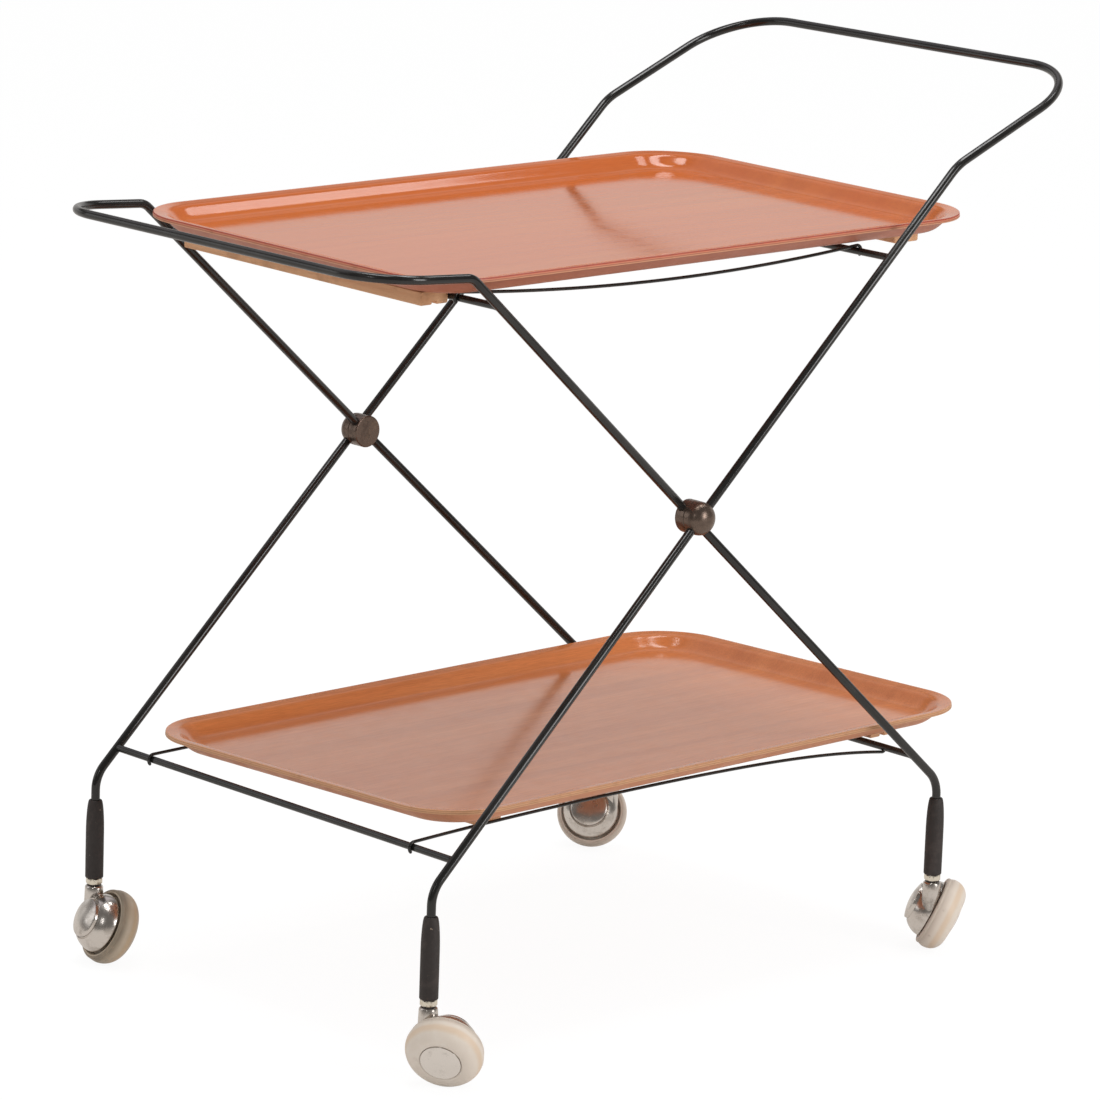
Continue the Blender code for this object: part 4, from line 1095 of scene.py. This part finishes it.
studio = {"floorSize": 14.0, "floorDrop": 0.0002, "floorShare": 0.86, "paper": (0.86, 0.86, 0.86, 1),
          "floorTone": (1.07, 1.07, 1.07, 1), "floorShine": (0.78, 0.73, 0.68, 1),
          "ambient": (0.60, 0.60, 0.60, 1), "dark": (0.17, 0.16, 0.15, 1), "ceiling": (0.66, 0.63, 0.66, 1),
          "backLow": (0.69, 0.67, 0.65, 1), "backHigh": (0.83, 0.81, 0.79, 1),
          # the bright back wall and ceiling that only glossy surfaces see, as directions
          "heading": (0.684, 0.730), "wallSide": (0.25, 0.6), "wallTop": (0.30, 0.41),
          "backStep": (0.19, 0.22), "ceilingSide": (0.2, 0.5), "ceilingFoot": (0.50, 0.62)}
lamps = {"overheadLeft": ((-0.40, 0.0, 2.95), (0.0, 0.0, 0.4), 1.3, 0.5, 16.0),      # spot, aim, sizes, watts
         "overheadRight": ((0.72, 0.0, 2.95), (0.0, 0.0, 0.4), 1.3, 0.5, 16.0),
         "wallGlow": ((1.36, -0.26, 2.46), (-0.28, 0.2, 0.69), 0.62, 0.38, 3.4),
         "side": ((-2.30, 2.00, 1.20), (-0.2, 0.1, 0.3), 1.4, 1.4, 6.0),
         "front": ((0.9, -3.6, 1.5), (0.0, 0.0, 0.3), 1.3, 1.9, 46.0),
         "strip": ((-3.4, -1.6, 2.3), (0.0, 0.0, 0.45), 0.16, 1.2, 6.0)}


def emptyTree(owner):
    owner.use_nodes = True
    owner.node_tree.nodes.clear()
    return owner.node_tree, addNode(owner.node_tree, "ShaderNodeLightPath").outputs


def makeFloor():
    finish = bpy.data.materials.new("paleFloor")
    tree, path = emptyTree(finish)
    seen = math2("MAXIMUM", path["Is Camera Ray"], path["Is Glossy Ray"])
    paper = addNode(tree, "ShaderNodeBsdfDiffuse", {"Color": studio["paper"]})
    tone = mixColour(path["Is Camera Ray"], studio["floorShine"], studio["floorTone"])
    glow = addNode(tree, "ShaderNodeEmission", {"Color": tone, "Strength": 1.0})
    share = times(seen, studio["floorShare"])
    mixed = addNode(tree, "ShaderNodeMixShader", {0: share, 1: paper.outputs[0], 2: glow.outputs[0]})
    addNode(tree, "ShaderNodeOutputMaterial", {0: mixed.outputs[0]})
    half, drop = studio["floorSize"] / 2, studio["floorDrop"]
    mesh = bpy.data.meshes.new("floor")
    corners = [(x * half, y * half, -drop) for x, y in ((-1, -1), (1, -1), (1, 1), (-1, 1))]
    mesh.from_pydata(corners, [], [(0, 1, 2, 3)])
    mesh.materials.append(finish)
    newObject("floor", mesh)


def makeWorld():
    world = bpy.data.worlds.new("studio")
    bpy.context.scene.world = world
    tree, path = emptyTree(world)
    x, y, z = addNode(tree, "ShaderNodeSeparateXYZ", {0: placeOn(tree, "Generated")}).outputs
    ahead = plus(times(x, studio["heading"][0]), times(y, studio["heading"][1]))
    wall = times(spread(ahead, *studio["wallSide"]), spread(z, *studio["wallTop"], 1.0, 0.0))
    ceiling = times(spread(y, *studio["ceilingSide"]), spread(z, *studio["ceilingFoot"]))
    backdrop = mixColour(spread(z, *studio["backStep"]), studio["backLow"], studio["backHigh"])
    room = mixColour(wall, mixColour(ceiling, studio["dark"], studio["ceiling"]), backdrop)
    shade = mixColour(path["Is Glossy Ray"], studio["ambient"], room)
    shade = mixColour(path["Is Camera Ray"], shade, (1, 1, 1, 1))
    sky = addNode(tree, "ShaderNodeBackground", {"Color": shade, "Strength": 1.0})
    addNode(tree, "ShaderNodeOutputWorld", {0: sky.outputs[0]})


def makeLamps():
    for name, (spot, aim, sizeX, sizeY, power) in lamps.items():
        data = bpy.data.lights.new(name, "AREA")
        data.shape = "RECTANGLE"
        data.size, data.size_y = sizeX, sizeY
        data.energy = power
        lamp = newObject(name, data)
        lamp.location = spot
        lamp.rotation_euler = (Vector(aim) - Vector(spot)).to_track_quat("-Z", "Y").to_euler()


view = {
    "spot": (-3.52743, -3.74639, 1.55487), "yaw": 0.75305, "pitch": 0.22451, "roll": 0.034505,
    "focal": 5788.73, "middle": (550.81, 548.58), "picture": 1100
}


def makeCamera():
    yaw, pitch, roll = view["yaw"], view["pitch"], view["roll"]
    ahead = Vector((sin(yaw) * cos(pitch), cos(yaw) * cos(pitch), -sin(pitch)))
    right = Vector((cos(yaw), -sin(yaw), 0))
    up = right.cross(ahead)
    right, up = (cos(roll) * right + sin(roll) * up, cos(roll) * up - sin(roll) * right)
    data = bpy.data.cameras.new("camera")
    data.sensor_width = 36.0
    data.lens = view["focal"] / view["picture"] * data.sensor_width
    data.shift_x = (view["picture"] / 2 - view["middle"][0]) / view["picture"]
    data.shift_y = (view["middle"][1] - view["picture"] / 2) / view["picture"]
    data.clip_start, data.clip_end = 0.1, 60.0
    camera = newObject("camera", data)
    camera.matrix_world = Matrix.Translation(view["spot"]) @ Matrix((right, up, -ahead)).transposed().to_4x4()
    bpy.context.scene.camera = camera


makeFloor()
makeWorld()
makeLamps()
makeCamera()
bpy.context.scene.view_settings.view_transform = "Standard"
print("studio set")
